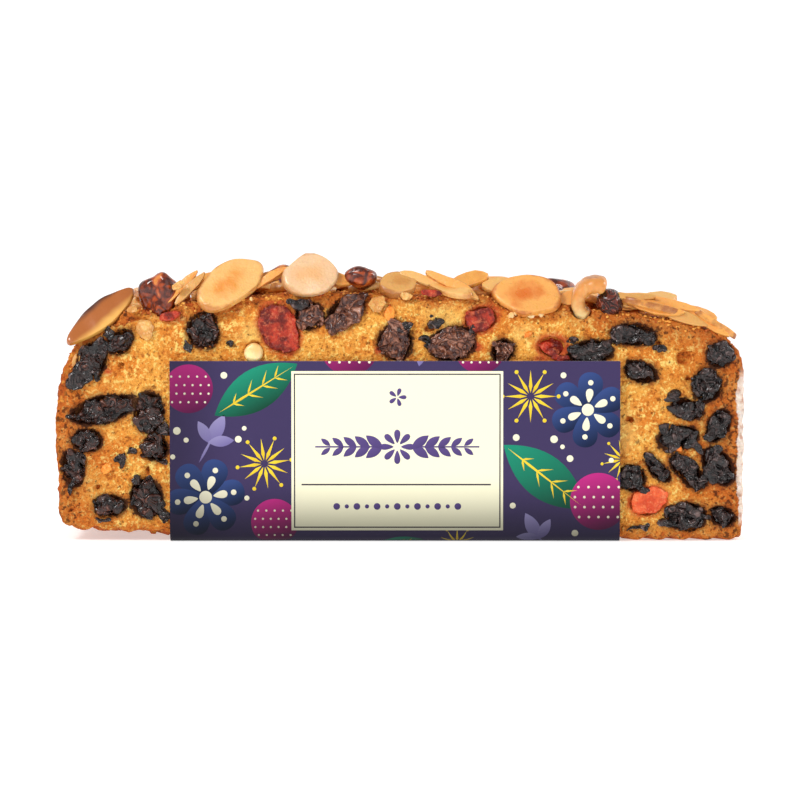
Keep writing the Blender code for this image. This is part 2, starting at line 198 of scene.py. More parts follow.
# The reliefs of the cut crumb and of the baked crust: size, depth, detail, middle level and where
SPONGE_RELIEFS = {
    "hollow": (3.2 * MM, 0.8 * MM, 1, 0.6, "cut"),
    "granule": (1.0 * MM, 0.75 * MM, 2, 0.55, "cut"),
    "baked_lump": (4.6 * MM, 1.5 * MM, 2, 0.6, "baked"),
    "baked_crumb": (1.2 * MM, 0.6 * MM, 1, 0.6, "baked"),
}
CUT_BAND = 1.2 * MM
BAKED_FROM_Z = 1.6 * MM
STAIN_REACH = 2.4 * MM
SCALLOP_LENGTH = 5.5 * MM
SCALLOP_DEPTH = 1.7 * MM
SCALLOP_RISE = 0.9 * MM
SCALLOP_REACH = 5 * MM
SCALLOP_SLANT = 0.7
BEHIND_CARD = {"x": (-53.2 * MM, 50.8 * MM), "top": 41.4 * MM, "base": 1.5 * MM}
CARD_MARGIN = 2 * MM
KEPT_BEHIND_CARD = 0.06

# Where the cut face's browning begins and ends, and from where the right end turns pale
LEFT_BROWNING = (-84 * MM, -62 * MM)
RIGHT_BROWNING = (64 * MM, 79 * MM)
TOP_BROWNING = {"x": (20 * MM, 60 * MM), "depth": (5.5 * MM, 10 * MM)}
BASE_BROWNING = 6 * MM
PALE_END_FROM_X = 79.2 * MM
PALE_END_FOOT = (3 * MM, 6 * MM)
PALE_END_HEAD = (42 * MM, 37 * MM)

SPONGE_GOLD = (238, 166, 72)
SPONGE_PALE = (255, 216, 122)
SPONGE_ORANGE = (222, 132, 48)
# The painted shade in the hollows of the crumb's grain
SPONGE_HOLLOW_SHADE = (170, 90, 32)
PORE_SHADE = (138, 74, 30)
SPONGE_BROWN = (180, 80, 26)
CRUST_RED = (178, 84, 32)
CRUST_DARK = (64, 28, 16)
CRUST_GOLD = (200, 110, 42)
END_PALE = (238, 218, 202)
TORN_FRUIT = (54, 26, 18)
RAISIN_STAIN = (112, 56, 26)
CHERRY_STAIN = (192, 66, 40)
CROWN_HEIGHT = 59.6 * MM
CROWN_PEAK_X = -8 * MM
CROWN_FALL = 6 * MM
CROWN_REACH = 70 * MM

# Deep pores in the front cut face: middle X and Z, and width and height, in millimetres
DEEP_PORES = (
    (67.6, 43.6, 3.6, 3.2),
    (54.6, 28.9, 2.0, 1.3),
    (-72.0, 12.9, 1.3, 1.2),
    (-60.1, 16.8, 1.0, 2.2),
    (-66.2, 42.0, 1.0, 0.9),
    (-78.3, 7.4, 1.1, 0.9),
    (61.5, 47.2, 1.4, 1.0),
    (6.8, 50.6, 2.6, 1.4),
    (68.6, 38.6, 1.6, 1.2),
    (59.6, 20.8, 1.0, 0.8),
)
PORE_DEPTH = 1.6 * MM
PORE_BAND = 2 * MM
PORE_RIM = 1.2

# Crumb stained by cherry syrup: middle X and Z, and width and height, in millimetres
RED_STAINS = (
    (-54.4, 53.6, 9.0, 4.6),
    (-69.4, 40.4, 3.2, 3.0),
    (-69.9, 17.4, 3.6, 3.4),
    (-30.0, 56.8, 9.0, 2.6),
    (-4.6, 45.6, 5.0, 3.0),
    (13.6, 59.4, 9.0, 3.0),
    (21.6, 54.4, 7.0, 7.0),
    (18.6, 46.4, 5.0, 4.0),
    (33.6, 43.6, 9.0, 2.4),
    (67.6, 22.6, 5.0, 3.0),
)

# Pale, well risen crumb: middle X and Z, and width and height, in millimetres
PALE_PATCHES = (
    (10.4, 53.2, 14.0, 9.0),
    (29.4, 49.6, 10.0, 6.0),
    (53.4, 26.0, 9.0, 16.0),
    (-35.6, 49.4, 9.0, 8.0),
    (-62.4, 33.6, 9.0, 6.0),
)


def linear(value):
    """A 0 to 255 display colour as linear light with an alpha of 1."""
    shares = [channel / 255 for channel in value]
    light = [share / 12.92 if share <= 0.04045 else ((share + 0.055) / 1.055) ** 2.4 for share in shares]
    return (*light, 1)


def copy_node(node, name):
    """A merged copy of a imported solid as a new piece, without its material."""
    piece = bpy.data.objects.new(name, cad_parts[node].data.copy())
    piece.data.materials.clear()
    scene.collection.objects.link(piece)
    pick(piece)
    bpy.ops.object.mode_set(mode="EDIT")
    bpy.ops.mesh.select_all(action="SELECT")
    bpy.ops.mesh.remove_doubles(threshold=0.02 * MM)
    bpy.ops.object.mode_set(mode="OBJECT")
    return piece


def finish_modifier(piece, kind, **settings):
    """Adds a modifier with its settings and applies it."""
    modifier = piece.modifiers.new(kind.lower(), kind)
    for key, value in settings.items():
        setattr(modifier, key, value)
    pick(piece)
    bpy.ops.object.modifier_apply(modifier=modifier.name)


def relief_texture(name, size, detail, kind="CLOUDS", **settings):
    """A procedural texture for a Displace modifier, with features of about that size."""
    texture = bpy.data.textures.new(name, kind)
    texture.noise_scale = size
    texture.noise_depth = detail
    for key, value in settings.items():
        setattr(texture, key, value)
    return texture


def displace(piece, texture, depth, middle=0.5, group="", direction="NORMAL"):
    """Moves the surface in and out by a texture, in the frame's own coordinates."""
    finish_modifier(
        piece, "DISPLACE", texture=texture, texture_coords="GLOBAL", strength=depth, mid_level=middle,
        vertex_group=group, direction=direction,
    )


def point_attribute(piece, name, values):
    """Stores one number for each corner of a piece's mesh, for its material to read."""
    attribute = piece.data.attributes.new(name, "FLOAT", "POINT")
    attribute.data.foreach_set("value", values)


def weight_group(piece, name, weights):
    """A vertex group that holds the corners whose weight isn't nought."""
    group = piece.vertex_groups.new(name=name)
    group.add([index for index, weight in enumerate(weights) if weight], 1.0, "REPLACE")


def off_patch(corner, patch):
    """How far a corner is off the middle of a patch of the cut face, where 1 is the patch's edge."""
    patch_x, patch_z, width, height = patch
    off_x = (corner.co.x / MM - patch_x) / width * 2
    off_z = (corner.co.z / MM - patch_z) / height * 2
    return math.hypot(off_x, off_z)


def patch_shares(piece, patches):
    """For each front corner, 1 in the middle of the patch it lies in, falling to 0 past its edge."""
    found = []
    for corner in piece.data.vertices:
        shares = [1.1 - off_patch(corner, patch) for patch in patches if corner.co.y < 0]
        found.append(max([0.0, *shares]))
    return found


def search_tree(nodes):
    """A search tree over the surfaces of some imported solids."""
    joined = bmesh.new()
    for node in nodes:
        joined.from_mesh(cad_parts[node].data)
    tree = BVHTree.FromBMesh(joined)
    joined.free()
    return tree


def nearness(piece, tree, reach):
    """For each corner, 1 on the searched surfaces falling to 0 at the reach."""
    found = []
    for corner in piece.data.vertices:
        distance = tree.find_nearest(corner.co, reach)[3]
        found.append(0.0 if distance is None else 1 - distance / reach)
    return found


def nodes_like(*starts):
    """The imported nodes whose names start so, in order."""
    return sorted(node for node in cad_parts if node.startswith(starts))


def ride_and_replace(piece, slot, *nodes):
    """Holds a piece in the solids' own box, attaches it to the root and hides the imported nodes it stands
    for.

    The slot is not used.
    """
    places = numpy.empty(3 * len(piece.data.vertices))
    piece.data.vertices.foreach_get("co", places)
    held = numpy.clip(places.reshape(-1, 3), *cad_box)
    piece.data.vertices.foreach_set("co", held.ravel())
    piece.data.update()
    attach(piece, "root")
    if nodes:
        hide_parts(*nodes)


def dress(piece, material, slot, *nodes):
    """Shades a piece smooth, gives it its material, holds it in the solids' box and hides the nodes it
    replaces.

    The slot is not used.
    """
    piece.data.shade_smooth()
    piece.data.materials.append(material)
    ride_and_replace(piece, slot, *nodes)


raisin_nodes = nodes_like("raisin")
cherry_nodes = nodes_like("cherry")
almond_nodes = nodes_like("almond_0", "almond_1")
pecan_nodes = nodes_like("pecan")

sponge = copy_node("cake", "sponge")
finish_modifier(sponge, "REMESH", mode="VOXEL", voxel_size=SPONGE_VOXEL, use_smooth_shade=True)
for corner in sponge.data.vertices:
    beyond_card = not BEHIND_CARD["x"][0] - CARD_MARGIN < corner.co.x < BEHIND_CARD["x"][1] + CARD_MARGIN
    if beyond_card and corner.co.z < SCALLOP_REACH:
        fold = abs(math.sin(math.pi * (corner.co.x + SCALLOP_SLANT * corner.co.y) / SCALLOP_LENGTH))
        share = 1 - corner.co.z / SCALLOP_REACH
        corner.co.z = max(corner.co.z + (SCALLOP_RISE - SCALLOP_DEPTH * fold) * share, 0.05 * MM)
    if corner.co.y < -CUT_FACE_Y + PORE_BAND:
        for pore in DEEP_PORES:
            inside = max(PORE_RIM - off_patch(corner, pore), 0.0)
            corner.co.y += PORE_DEPTH * min(1.0, 2.4 * inside)
is_cut = [abs(corner.co.y) > CUT_FACE_Y - CUT_BAND for corner in sponge.data.vertices]
is_baked = [not cut and corner.co.z > BAKED_FROM_Z for cut, corner in zip(is_cut, sponge.data.vertices)]
is_hidden = [
    BEHIND_CARD["x"][0] < corner.co.x < BEHIND_CARD["x"][1]
    and (corner.co.z < BEHIND_CARD["base"] or (cut and corner.co.z < BEHIND_CARD["top"]))
    for cut, corner in zip(is_cut, sponge.data.vertices)
]
weight_group(sponge, "cut", is_cut)
weight_group(sponge, "baked", is_baked)
weight_group(sponge, "hidden", is_hidden)
for name, (size, depth, detail, middle, group) in SPONGE_RELIEFS.items():
    displace(sponge, relief_texture(name, size, detail), depth, middle, group)
share_hidden = sum(is_hidden) / len(is_hidden)
kept_share = 1 - (1 - KEPT_BEHIND_CARD) * share_hidden
finish_modifier(sponge, "DECIMATE", ratio=kept_share, vertex_group="hidden")
sponge.vertex_groups.clear()
point_attribute(sponge, "raisin_stain", nearness(sponge, search_tree(raisin_nodes), STAIN_REACH))
cherry_near = nearness(sponge, search_tree(cherry_nodes), STAIN_REACH)
point_attribute(sponge, "cherry_stain", list(map(max, cherry_near, patch_shares(sponge, RED_STAINS))))
point_attribute(sponge, "pale_crumb", patch_shares(sponge, PALE_PATCHES))


class Net:
    """Short ways to add and join nodes in one material or node group."""

    def __init__(self, tree):
        self.tree = tree

    def add(self, kind, **settings):
        """A node of that kind with its settings."""
        node = self.tree.nodes.new("ShaderNode" + kind)
        for key, value in settings.items():
            setattr(node, key, value)
        return node

    def put(self, socket, value):
        """Links an output to a socket, or sets the socket's own value."""
        if isinstance(value, bpy.types.NodeSocket):
            self.tree.links.new(value, socket)
        elif socket.type == "RGBA" and len(value) == 3:
            socket.default_value = linear(value)
        else:
            socket.default_value = value

    def place(self):
        """The point in the object's own coordinates."""
        return self.add("TexCoord").outputs["Object"]

    def axes(self):
        """The point's X, Y and Z."""
        split = self.add("SeparateXYZ")
        self.put(split.inputs[0], self.place())
        return split.outputs

    def number(self, operation, first, second=0.0, third=0.0):
        """One Math node."""
        node = self.add("Math", operation=operation)
        for socket, value in zip(node.inputs, (first, second, third)):
            self.put(socket, value)
        return node.outputs[0]

    def ramp(self, value, low, high, to_low=0.0, to_high=1.0):
        """A value taken smoothly from one range to another."""
        node = self.add("MapRange", interpolation_type="SMOOTHSTEP")
        sockets = ("Value", "From Min", "From Max", "To Min", "To Max")
        for socket, setting in zip(sockets, (value, low, high, to_low, to_high)):
            self.put(node.inputs[socket], setting)
        return node.outputs[0]

    def times(self, first, second):
        """One value times another."""
        return self.number("MULTIPLY", first, second)

    def times_plus(self, first, second, third):
        """One value times another, plus a third: often a noise, how much of it, and what it frays."""
        return self.number("MULTIPLY_ADD", first, second, third)

    def noise(self, size, detail=3.0, roughness=0.55):
        """Cloud noise with features of about that size, from 0 to 1."""
        node = self.add("TexNoise")
        self.put(node.inputs["Vector"], self.place())
        node.inputs["Scale"].default_value = 1 / size
        node.inputs["Detail"].default_value = detail
        node.inputs["Roughness"].default_value = roughness
        return node.outputs[0]

    def cells(self, size, warp):
        """Distance to the nearest of scattered points about that far apart, in warped space."""
        cloud = self.add("TexNoise")
        self.put(cloud.inputs["Vector"], self.place())
        cloud.inputs["Scale"].default_value = 1 / warp
        shifted = self.add("VectorMath", operation="MULTIPLY_ADD")
        self.put(shifted.inputs[0], cloud.outputs["Color"])
        shifted.inputs[1].default_value = (2 * warp, 2 * warp, 2 * warp)
        self.put(shifted.inputs[2], self.place())
        node = self.add("TexVoronoi")
        self.put(node.inputs["Vector"], shifted.outputs[0])
        node.inputs["Scale"].default_value = 1 / size
        return node.outputs["Distance"]

    def mix(self, share, first, second, blend="MIX"):
        """One colour over another by a share."""
        node = self.add("Mix", data_type="RGBA", blend_type=blend)
        self.put(node.inputs[0], share)
        self.put(node.inputs[6], first)
        self.put(node.inputs[7], second)
        return node.outputs[2]

    def attribute(self, name):
        """A number stored on the mesh."""
        return self.add("Attribute", attribute_name=name).outputs["Fac"]

    def feed(self, shader, colour, height, depth, strength=1.0):
        """Feeds a shader its colour, and bumps from a height of 0 to 1 that stands for that depth."""
        bump = self.add("Bump")
        self.put(bump.inputs["Height"], height)
        bump.inputs["Distance"].default_value = depth
        bump.inputs["Strength"].default_value = strength
        self.put(shader.inputs["Base Color"], colour)
        self.put(shader.inputs["Normal"], bump.outputs["Normal"])


def new_group(name, inputs, outputs):
    """A new node group with named inputs and outputs: its tree, its net and its two end nodes."""
    tree = bpy.data.node_groups.new(name, "ShaderNodeTree")
    for socket, kind, value in inputs:
        made = tree.interface.new_socket(name=socket, in_out="INPUT", socket_type="NodeSocket" + kind)
        made.default_value = value
    for socket, kind in outputs:
        tree.interface.new_socket(name=socket, in_out="OUTPUT", socket_type="NodeSocket" + kind)
    return tree, Net(tree), tree.nodes.new("NodeGroupInput"), tree.nodes.new("NodeGroupOutput")


def use_group(net, tree, **values):
    """Places a group in a net and feeds its inputs, with underscores for the spaces in their names."""
    node = net.add("Group", node_tree=tree)
    for key, value in values.items():
        net.put(node.inputs[key.replace("_", " ")], value)
    return node


# Grain is the open crumb of a baked or sugared thing: a body colour, lit dots on the high points of
# its height and dark hollows in its low points, and that height. The dark hollows are painted shade,
# and the lit dots are partly paler grain and partly painted light.
grain, grain_net, grain_in, grain_out = new_group(
    "grain",
    (("Body", "Color", (0.5, 0.5, 0.5, 1)), ("Speck", "Color", (1, 1, 1, 1)),
     ("Gap", "Color", (0, 0, 0, 1)), ("Scale", "Float", 2000.0), ("Specks", "Float", 0.8),
     ("Gaps", "Float", 0.8)),
    (("Color", "Color"), ("Height", "Float")),
)
fine = grain_net.add("TexNoise")
coarse = grain_net.add("TexNoise")
for cloud, share, detail in ((fine, 1.0, 2.0), (coarse, 0.42, 3.0)):
    grain_net.put(cloud.inputs["Vector"], grain_net.place())
    grain_net.put(cloud.inputs["Scale"], grain_net.times(grain_in.outputs["Scale"], share))
    cloud.inputs["Detail"].default_value = detail
    cloud.inputs["Roughness"].default_value = 0.6
grain_height = grain_net.times(grain_net.number("ADD", fine.outputs[0], coarse.outputs[0]), 0.5)
# Painted light on the high points of the height and painted shade in its low points
lit_specks = grain_net.times(grain_net.ramp(grain_height, 0.5, 0.62), grain_in.outputs["Specks"])
hollow_shade = grain_net.times(grain_net.ramp(grain_height, 0.47, 0.36), grain_in.outputs["Gaps"])
speckled = grain_net.mix(lit_specks, grain_in.outputs["Body"], grain_in.outputs["Speck"])
grain_net.put(grain_out.inputs["Color"], grain_net.mix(hollow_shade, speckled, grain_in.outputs["Gap"]))
grain_net.put(grain_out.inputs["Height"], grain_height)

sponge_material, sponge_tree, sponge_shader = principled(
    "cut_sponge", Roughness=0.75, Specular_IOR_Level=0.12,
    Subsurface_Weight=0.1, Subsurface_Radius=(0.0018, 0.0009, 0.0004),
)
net = Net(sponge_tree)
x, y, z = net.axes()
ragged = net.times_plus(net.noise(2.4 * MM, 4, 0.65), 2.0, -1.0)
frayed = net.times_plus(net.noise(0.9 * MM, 3, 0.6), 2.0, -1.0)
body = net.mix(net.ramp(net.noise(8 * MM, 3), 0.38, 0.62), SPONGE_ORANGE, SPONGE_GOLD)
# The crumb's grain: painted shade in its hollows, and partly painted light on its lit dots
crumb = use_group(net, grain, Body=body, Speck=SPONGE_PALE, Gap=SPONGE_HOLLOW_SHADE,
                  Scale=1 / (0.66 * MM), Specks=1.0, Gaps=0.85)
light = net.times_plus(ragged, 0.5, net.attribute("pale_crumb"))
cut_colour = net.mix(net.ramp(light, 0.1, 0.9, 0, 0.4), crumb.outputs["Color"], SPONGE_PALE)
# The pores are lowered in the bump and darkened in colour as painted shade
pore_edge = net.times_plus(net.noise(0.5 * MM, 3), 0.9, net.cells(1.9 * MM, 0.8 * MM))
pores = net.times(net.ramp(pore_edge, 0.7, 0.5), net.ramp(net.noise(3 * MM, 2), 0.42, 0.58))
cut_colour = net.mix(net.times(pores, 0.75), cut_colour, PORE_SHADE)

from_left = net.ramp(net.times_plus(ragged, 5 * MM, x), *LEFT_BROWNING, 1, 0)
from_right = net.ramp(net.times_plus(ragged, 8 * MM, x), *RIGHT_BROWNING)
drop = net.number("POWER", net.number("DIVIDE", net.number("SUBTRACT", x, CROWN_PEAK_X), CROWN_REACH), 2.0)
top_height = net.times_plus(drop, -CROWN_FALL, CROWN_HEIGHT)
below_top = net.times_plus(ragged, 4 * MM, net.number("SUBTRACT", top_height, z))
from_top = net.ramp(below_top, 0.0, net.ramp(x, *TOP_BROWNING["x"], *TOP_BROWNING["depth"]), 1, 0)
from_base = net.ramp(net.times_plus(ragged, 4 * MM, z), 0.0, BASE_BROWNING, 1, 0)
cut_colour = net.mix(net.times(from_top, 0.75), cut_colour, CRUST_RED)
rim_brown = net.number("MAXIMUM", from_left, net.number("MAXIMUM", from_right, from_base))
cut_colour = net.mix(net.times(rim_brown, 0.68), cut_colour, SPONGE_BROWN)
near_rim = net.number("MAXIMUM", rim_brown, from_top)
burnt = net.ramp(net.times_plus(near_rim, 0.24, net.noise(1.1 * MM, 3)), 0.72, 0.84)
cut_colour = net.mix(net.times(burnt, 0.8), cut_colour, CRUST_DARK)
raisin_near = net.attribute("raisin_stain")
stain_edge = net.times_plus(ragged, 0.4, raisin_near)
cut_colour = net.mix(net.ramp(stain_edge, 0.1, 0.9, 0, 0.75), cut_colour, RAISIN_STAIN)
red_edge = net.times_plus(ragged, 0.5, net.attribute("cherry_stain"))
cut_colour = net.mix(net.ramp(red_edge, 0.15, 0.9, 0, 0.8), cut_colour, CHERRY_STAIN)
torn = net.ramp(net.times_plus(frayed, 0.5, raisin_near), 0.6, 0.76)

crust_body = net.mix(net.ramp(net.noise(6 * MM, 3), 0.38, 0.62), CRUST_RED, CRUST_GOLD)
crust = use_group(net, grain, Body=crust_body, Speck=SPONGE_GOLD, Gap=CRUST_DARK,
                  Scale=1 / (1.1 * MM), Specks=0.6, Gaps=0.85)
side_share = net.times_plus(ragged, 0.5 * MM, net.number("ABSOLUTE", y))
cut_share = net.ramp(side_share, CUT_FACE_Y - 1.6 * MM, CUT_FACE_Y - 1.0 * MM)
cake_colour = net.mix(cut_share, crust.outputs["Color"], cut_colour)
cake_colour = net.mix(net.times(torn, 0.9), cake_colour, TORN_FRUIT)
pale_end_grain = use_group(net, grain, Body=END_PALE, Speck=(255, 255, 255), Gap=CRUST_RED,
                      Scale=1 / (1.6 * MM), Specks=0.5, Gaps=0.55)
# The right end is pale in a thin ragged band between a foot and a head height
pale_end_from = net.times_plus(net.noise(14 * MM, 2), 2.4 * MM, PALE_END_FROM_X)
pale_end_reach = net.number("SUBTRACT", net.times_plus(ragged, 0.9 * MM, x), pale_end_from)
pale_end = net.ramp(pale_end_reach, 0.0, 0.35 * MM)
pale_end = net.times(pale_end, net.ramp(z, *PALE_END_FOOT))
pale_end = net.times(pale_end, net.ramp(z, *PALE_END_HEAD))
cake_colour = net.mix(pale_end, cake_colour, pale_end_grain.outputs["Color"])
crumb_height = net.times_plus(pores, -0.3, crumb.outputs["Height"])
net.feed(sponge_shader, cake_colour, crumb_height, 1.5 * MM)
dress(sponge, sponge_material, "sponge", "cake")


# The raisins
# Sun-dried vine fruit that the knife cut or tore: nearly black, deeply folded and moist, with ragged
# outlines in hollows of the crumb.

FRUIT_TEAR = {"size": 3.4 * MM, "depth": 4.2 * MM}
FRUIT_FOLD = {"size": 3.4 * MM, "depth": 0.9 * MM}
FRUIT_FRONT = 23.75 * MM
FRUIT_LIMIT = 24.9 * MM
FOLD_TURBULENCE = 9
# Raisin tones: crease, skin and ridge; the crease tone is painted shade and the ridge tone a painted
# highlight
RAISIN_BROWN = ((12, 5, 4), (66, 31, 22), (128, 78, 60))
RAISIN_BLACK = ((12, 8, 9), (56, 38, 36), (132, 108, 104))
RAISIN_PLUM = ((60, 24, 18), (142, 86, 62), (200, 154, 134))
PLUM_FROM_X = -31 * MM
PLUM_TO_X = 34 * MM
RAISIN_SWELL = 1.1
tear_texture = relief_texture("fruit_tear", FRUIT_TEAR["size"], 1, cloud_type="COLOR")
fold_texture = relief_texture("fruit_fold", FRUIT_FOLD["size"], 1, "MARBLE", turbulence=FOLD_TURBULENCE)


def rounded_copy(node, ending):
    """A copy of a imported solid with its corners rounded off, named for it."""
    piece = copy_node(node, node + ending)
    finish_modifier(piece, "SUBSURF", levels=3, render_levels=3)
    return piece


def swell(piece, factor):
    """Scales a piece about its own middle, to win back what subdivision takes in."""
    corners = piece.data.vertices
    middle = sum((corner.co for corner in corners), Vector()) / len(corners)
    for corner in corners:
        corner.co = middle + (corner.co - middle) * factor


def press_to_cut(piece, share=0.3):
    """Presses what stands out of a cut face back to the knife's plane, but for that share of it."""
    for corner in piece.data.vertices:
        out = abs(corner.co.y) - FRUIT_FRONT
        if out > 0:
            corner.co.y = math.copysign(min(FRUIT_FRONT + share * out, FRUIT_LIMIT), corner.co.y)


def tear_fruit(piece, tear, fold):
    """Tears a dark fruit's outline, presses it to the cut and folds its skin."""
    displace(piece, tear_texture, tear, direction="RGB_TO_XYZ")
    press_to_cut(piece)
    displace(piece, fold_texture, fold)
    press_to_cut(piece, 0.8)


# Folds are the wrinkles of a dried fruit's skin, as a height
folds, folds_net, folds_in, folds_out = new_group(
    "skin_folds", (("Scale", "Float", 1000.0),), (("Height", "Float"),)
)
folded = folds_net.add("TexNoise")
folds_net.put(folded.inputs["Vector"], folds_net.place())
folds_net.put(folded.inputs["Scale"], folds_in.outputs["Scale"])
folded.inputs["Detail"].default_value = 1.5
folded.inputs["Distortion"].default_value = 1.2
crease = folds_net.number("ABSOLUTE", folds_net.number("SUBTRACT", folded.outputs[0], 0.5))
folds_net.put(folds_out.inputs["Height"], folds_net.times(crease, 5.0))


def dried_fruit_finish(name, crease_shade, skin_tone, ridge_highlight, fold_size=2.3, fold_depth=0.5):
    """A dark, moist, wrinkled skin, with its folds' size and depth in millimetres.

    Its creases are painted darker as shade and its ridges lighter as a highlight.
    """
    made, tree, shader = principled(name, Specular_IOR_Level=0.4, Coat_Weight=0.35, Coat_Roughness=0.08)
    net = Net(tree)
    height = use_group(net, folds, Scale=1 / (fold_size * MM)).outputs["Height"]
    clouded = net.times_plus(net.noise(2.6 * MM, 3), 1.6, height)
    # Painted shade in the creases and a painted highlight on the ridges of the folds
    skin = net.mix(net.ramp(clouded, 0.75, 1.6), crease_shade, skin_tone)
    skin = net.mix(net.ramp(clouded, 1.5, 2.1, 0, 0.7), skin, ridge_highlight)
    height = net.times_plus(net.noise(0.5 * MM, 2), 0.2, height)
    net.feed(shader, skin, height, fold_depth * MM, 0.9)
    net.put(shader.inputs["Roughness"], net.ramp(net.noise(1.4 * MM, 2), 0.35, 0.65, 0.08, 0.36))
    return made


raisin_brown = dried_fruit_finish("raisin_brown", *RAISIN_BROWN)
raisin_black = dried_fruit_finish("raisin_black", *RAISIN_BLACK)
raisin_plum = dried_fruit_finish("raisin_plum", *RAISIN_PLUM)
for node in raisin_nodes:
    raisin = rounded_copy(node, "_fruit")
    swell(raisin, RAISIN_SWELL)
    tear_fruit(raisin, FRUIT_TEAR["depth"], FRUIT_FOLD["depth"])
    raisin_middle = (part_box(node)[0].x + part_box(node)[1].x) / 2
    if raisin_middle < PLUM_FROM_X:
        skin = raisin_brown
    elif raisin_middle < PLUM_TO_X:
        skin = raisin_plum
    else:
        skin = raisin_black
    dress(raisin, skin, "raisin", node)


# The fruit shreds
# Scraps of the same vine fruit, torn off by the knife and too small for solids of their own, pressed in
# the crumb beside the raisins. The back's cut face has its own.

# Middle X and Z, width and height, and turn, in millimetres and degrees
SHREDS = (
    (-76.4, 39.6, 5.0, 7.6, -30),
    (-71.8, 45.6, 6.6, 4.2, 30),
    (-69.4, 49.4, 3.4, 2.6, 40),
    (-71.9, 39.0, 3.4, 2.2, -30),
    (-66.2, 20.2, 2.8, 2.6, 0),
    (-63.2, 21.3, 2.6, 2.2, 0),
    (-56.0, 26.2, 4.2, 3.0, 50),
    (-57.0, 18.8, 3.6, 2.2, -20),
    (-75.4, 20.0, 1.6, 3.6, 24),
    (-78.6, 12.4, 1.4, 3.4, 4),
    (-63.0, 14.0, 3.6, 2.6, -34),
    (-56.6, 7.4, 3.6, 5.4, 20),
    (-70.8, 5.4, 3.4, 1.2, 4),
    (-50.2, 46.8, 2.8, 2.4, 0),
    (-40.2, 47.6, 2.4, 1.6, 20),
    (-24.6, 56.6, 5.6, 2.2, -10),
    (1.0, 51.4, 3.6, 2.0, 30),
    (6.2, 47.2, 3.4, 4.6, 20),
    (8.0, 51.8, 3.8, 2.4, -20),
    (17.2, 50.6, 3.6, 2.2, 50),
    (40.6, 48.4, 2.6, 1.6, 0),
    (51.2, 47.2, 4.0, 2.6, 20),
    (61.6, 45.6, 2.6, 1.6, 0),
    (64.4, 34.4, 3.0, 2.6, 40),
    (71.6, 31.8, 3.0, 2.2, 20),
    (63.0, 27.0, 3.4, 2.0, 20),
    (70.2, 22.6, 4.6, 3.6, -40),
    (72.6, 14.4, 3.4, 2.2, 50),
    (66.6, 20.2, 4.8, 1.8, -30),
    (60.2, 19.4, 3.2, 2.0, -20),
    (57.6, 12.8, 3.2, 1.8, 10),
    (57.2, 3.2, 6.0, 1.2, 6),
    (64.2, 4.2, 3.6, 2.0, 20),
    (72.8, 5.6, 2.6, 1.8, 0),
)
SHRED_DEPTH = 2.2
SHRED_PROUD = 0.1
SHRED_TEAR = 3.6 * MM
SHRED_FOLD = 0.8 * MM
lump_model = start_piece("lump_model", bpy.ops.mesh.primitive_ico_sphere_add, subdivisions=4, radius=0.5)


def piece_from(name, shape):
    """A new piece with the mesh of a shape, which is freed."""
    piece = bpy.data.objects.new(name, bpy.data.meshes.new(name))
    shape.to_mesh(piece.data)
    shape.free()
    scene.collection.objects.link(piece)
    return piece


def gather(name, model, placements):
    """One piece made of copies of a model's mesh, each at its own placement."""
    joined = bmesh.new()
    for placement in placements:
        one = model.data.copy()
        one.transform(placement)
        joined.from_mesh(one)
        bpy.data.meshes.remove(one)
    return piece_from(name, joined)


def in_cut_face(x, z, width, height, turn, depth, proud=0.0, side=-1):
    """The placement that lays a unit lump in a cut face, sized and turned."""
    size = Matrix.Diagonal((width * MM, depth * MM, height * MM, 1))
    turning = Matrix.Rotation(math.radians(-turn), 4, "Y")
    return Matrix.Translation((x * MM, side * (CUT_FACE_Y + proud * MM), z * MM)) @ turning @ size


def dark_fruit(name, placements, material):
    """Ragged vine fruit in one piece."""
    fruit = gather(name, lump_model, placements)
    tear_fruit(fruit, SHRED_TEAR, SHRED_FOLD)
    dress(fruit, material, "raisin")


shred_places = [in_cut_face(*row, SHRED_DEPTH, SHRED_PROUD) for row in SHREDS]
dark_fruit("fruit_shreds", shred_places, raisin_black)


# The back's fruit
# The back is a second cut face, so fruit lies open in it as it does in the front: raisins, with a few
# cherries among them, spread over what the sleeve leaves bare.

BACK_RAISINS = 36
BACK_CHERRIES = 4
BACK_SPACING = 6.6
BACK_FIELD = ((-75, 75), (7, 54))
BACK_WIDTHS = (4, 12)
BACK_HEIGHTS = (3, 6.5)
BACK_DEPTH = 3.4
BACK_CROWN_GAP = 6.5
BACK_CORNERS_FROM = 62

# The card's two ends and top at the back, with room for a fruit beside it, in millimetres
BACK_CARD = (-56.0, 55.4, 45.0)


def crown(x):
    """Height of the baked top at x, as the solid has it."""
    return CROWN_HEIGHT - CROWN_FALL * ((x - CROWN_PEAK_X) / CROWN_REACH) ** 2


back_random = random.Random(11)
back_spots = []
while len(back_spots) < BACK_RAISINS + BACK_CHERRIES:
    spot = tuple(back_random.uniform(*limits) for limits in BACK_FIELD)
    behind_card = BACK_CARD[0] < spot[0] < BACK_CARD[1] and spot[1] < BACK_CARD[2]
    crowded = any(math.dist(spot, other) < BACK_SPACING for other in back_spots)
    corner_gap = max(abs(spot[0]) - BACK_CORNERS_FROM, 0)
    in_crust = spot[1] > crown(spot[0] * MM) / MM - BACK_CROWN_GAP - corner_gap
    if not (behind_card or crowded or in_crust):
        back_spots.append(spot)
back_rows = []
for spot in back_spots:
    form = [back_random.uniform(*limits) for limits in (BACK_WIDTHS, BACK_HEIGHTS, (0, 180))]
    back_rows.append(in_cut_face(*spot, *form, BACK_DEPTH, side=1))
dark_fruit("back_raisins", back_rows[BACK_CHERRIES::2], raisin_black)
dark_fruit("back_sultanas", back_rows[BACK_CHERRIES + 1::2], raisin_plum)


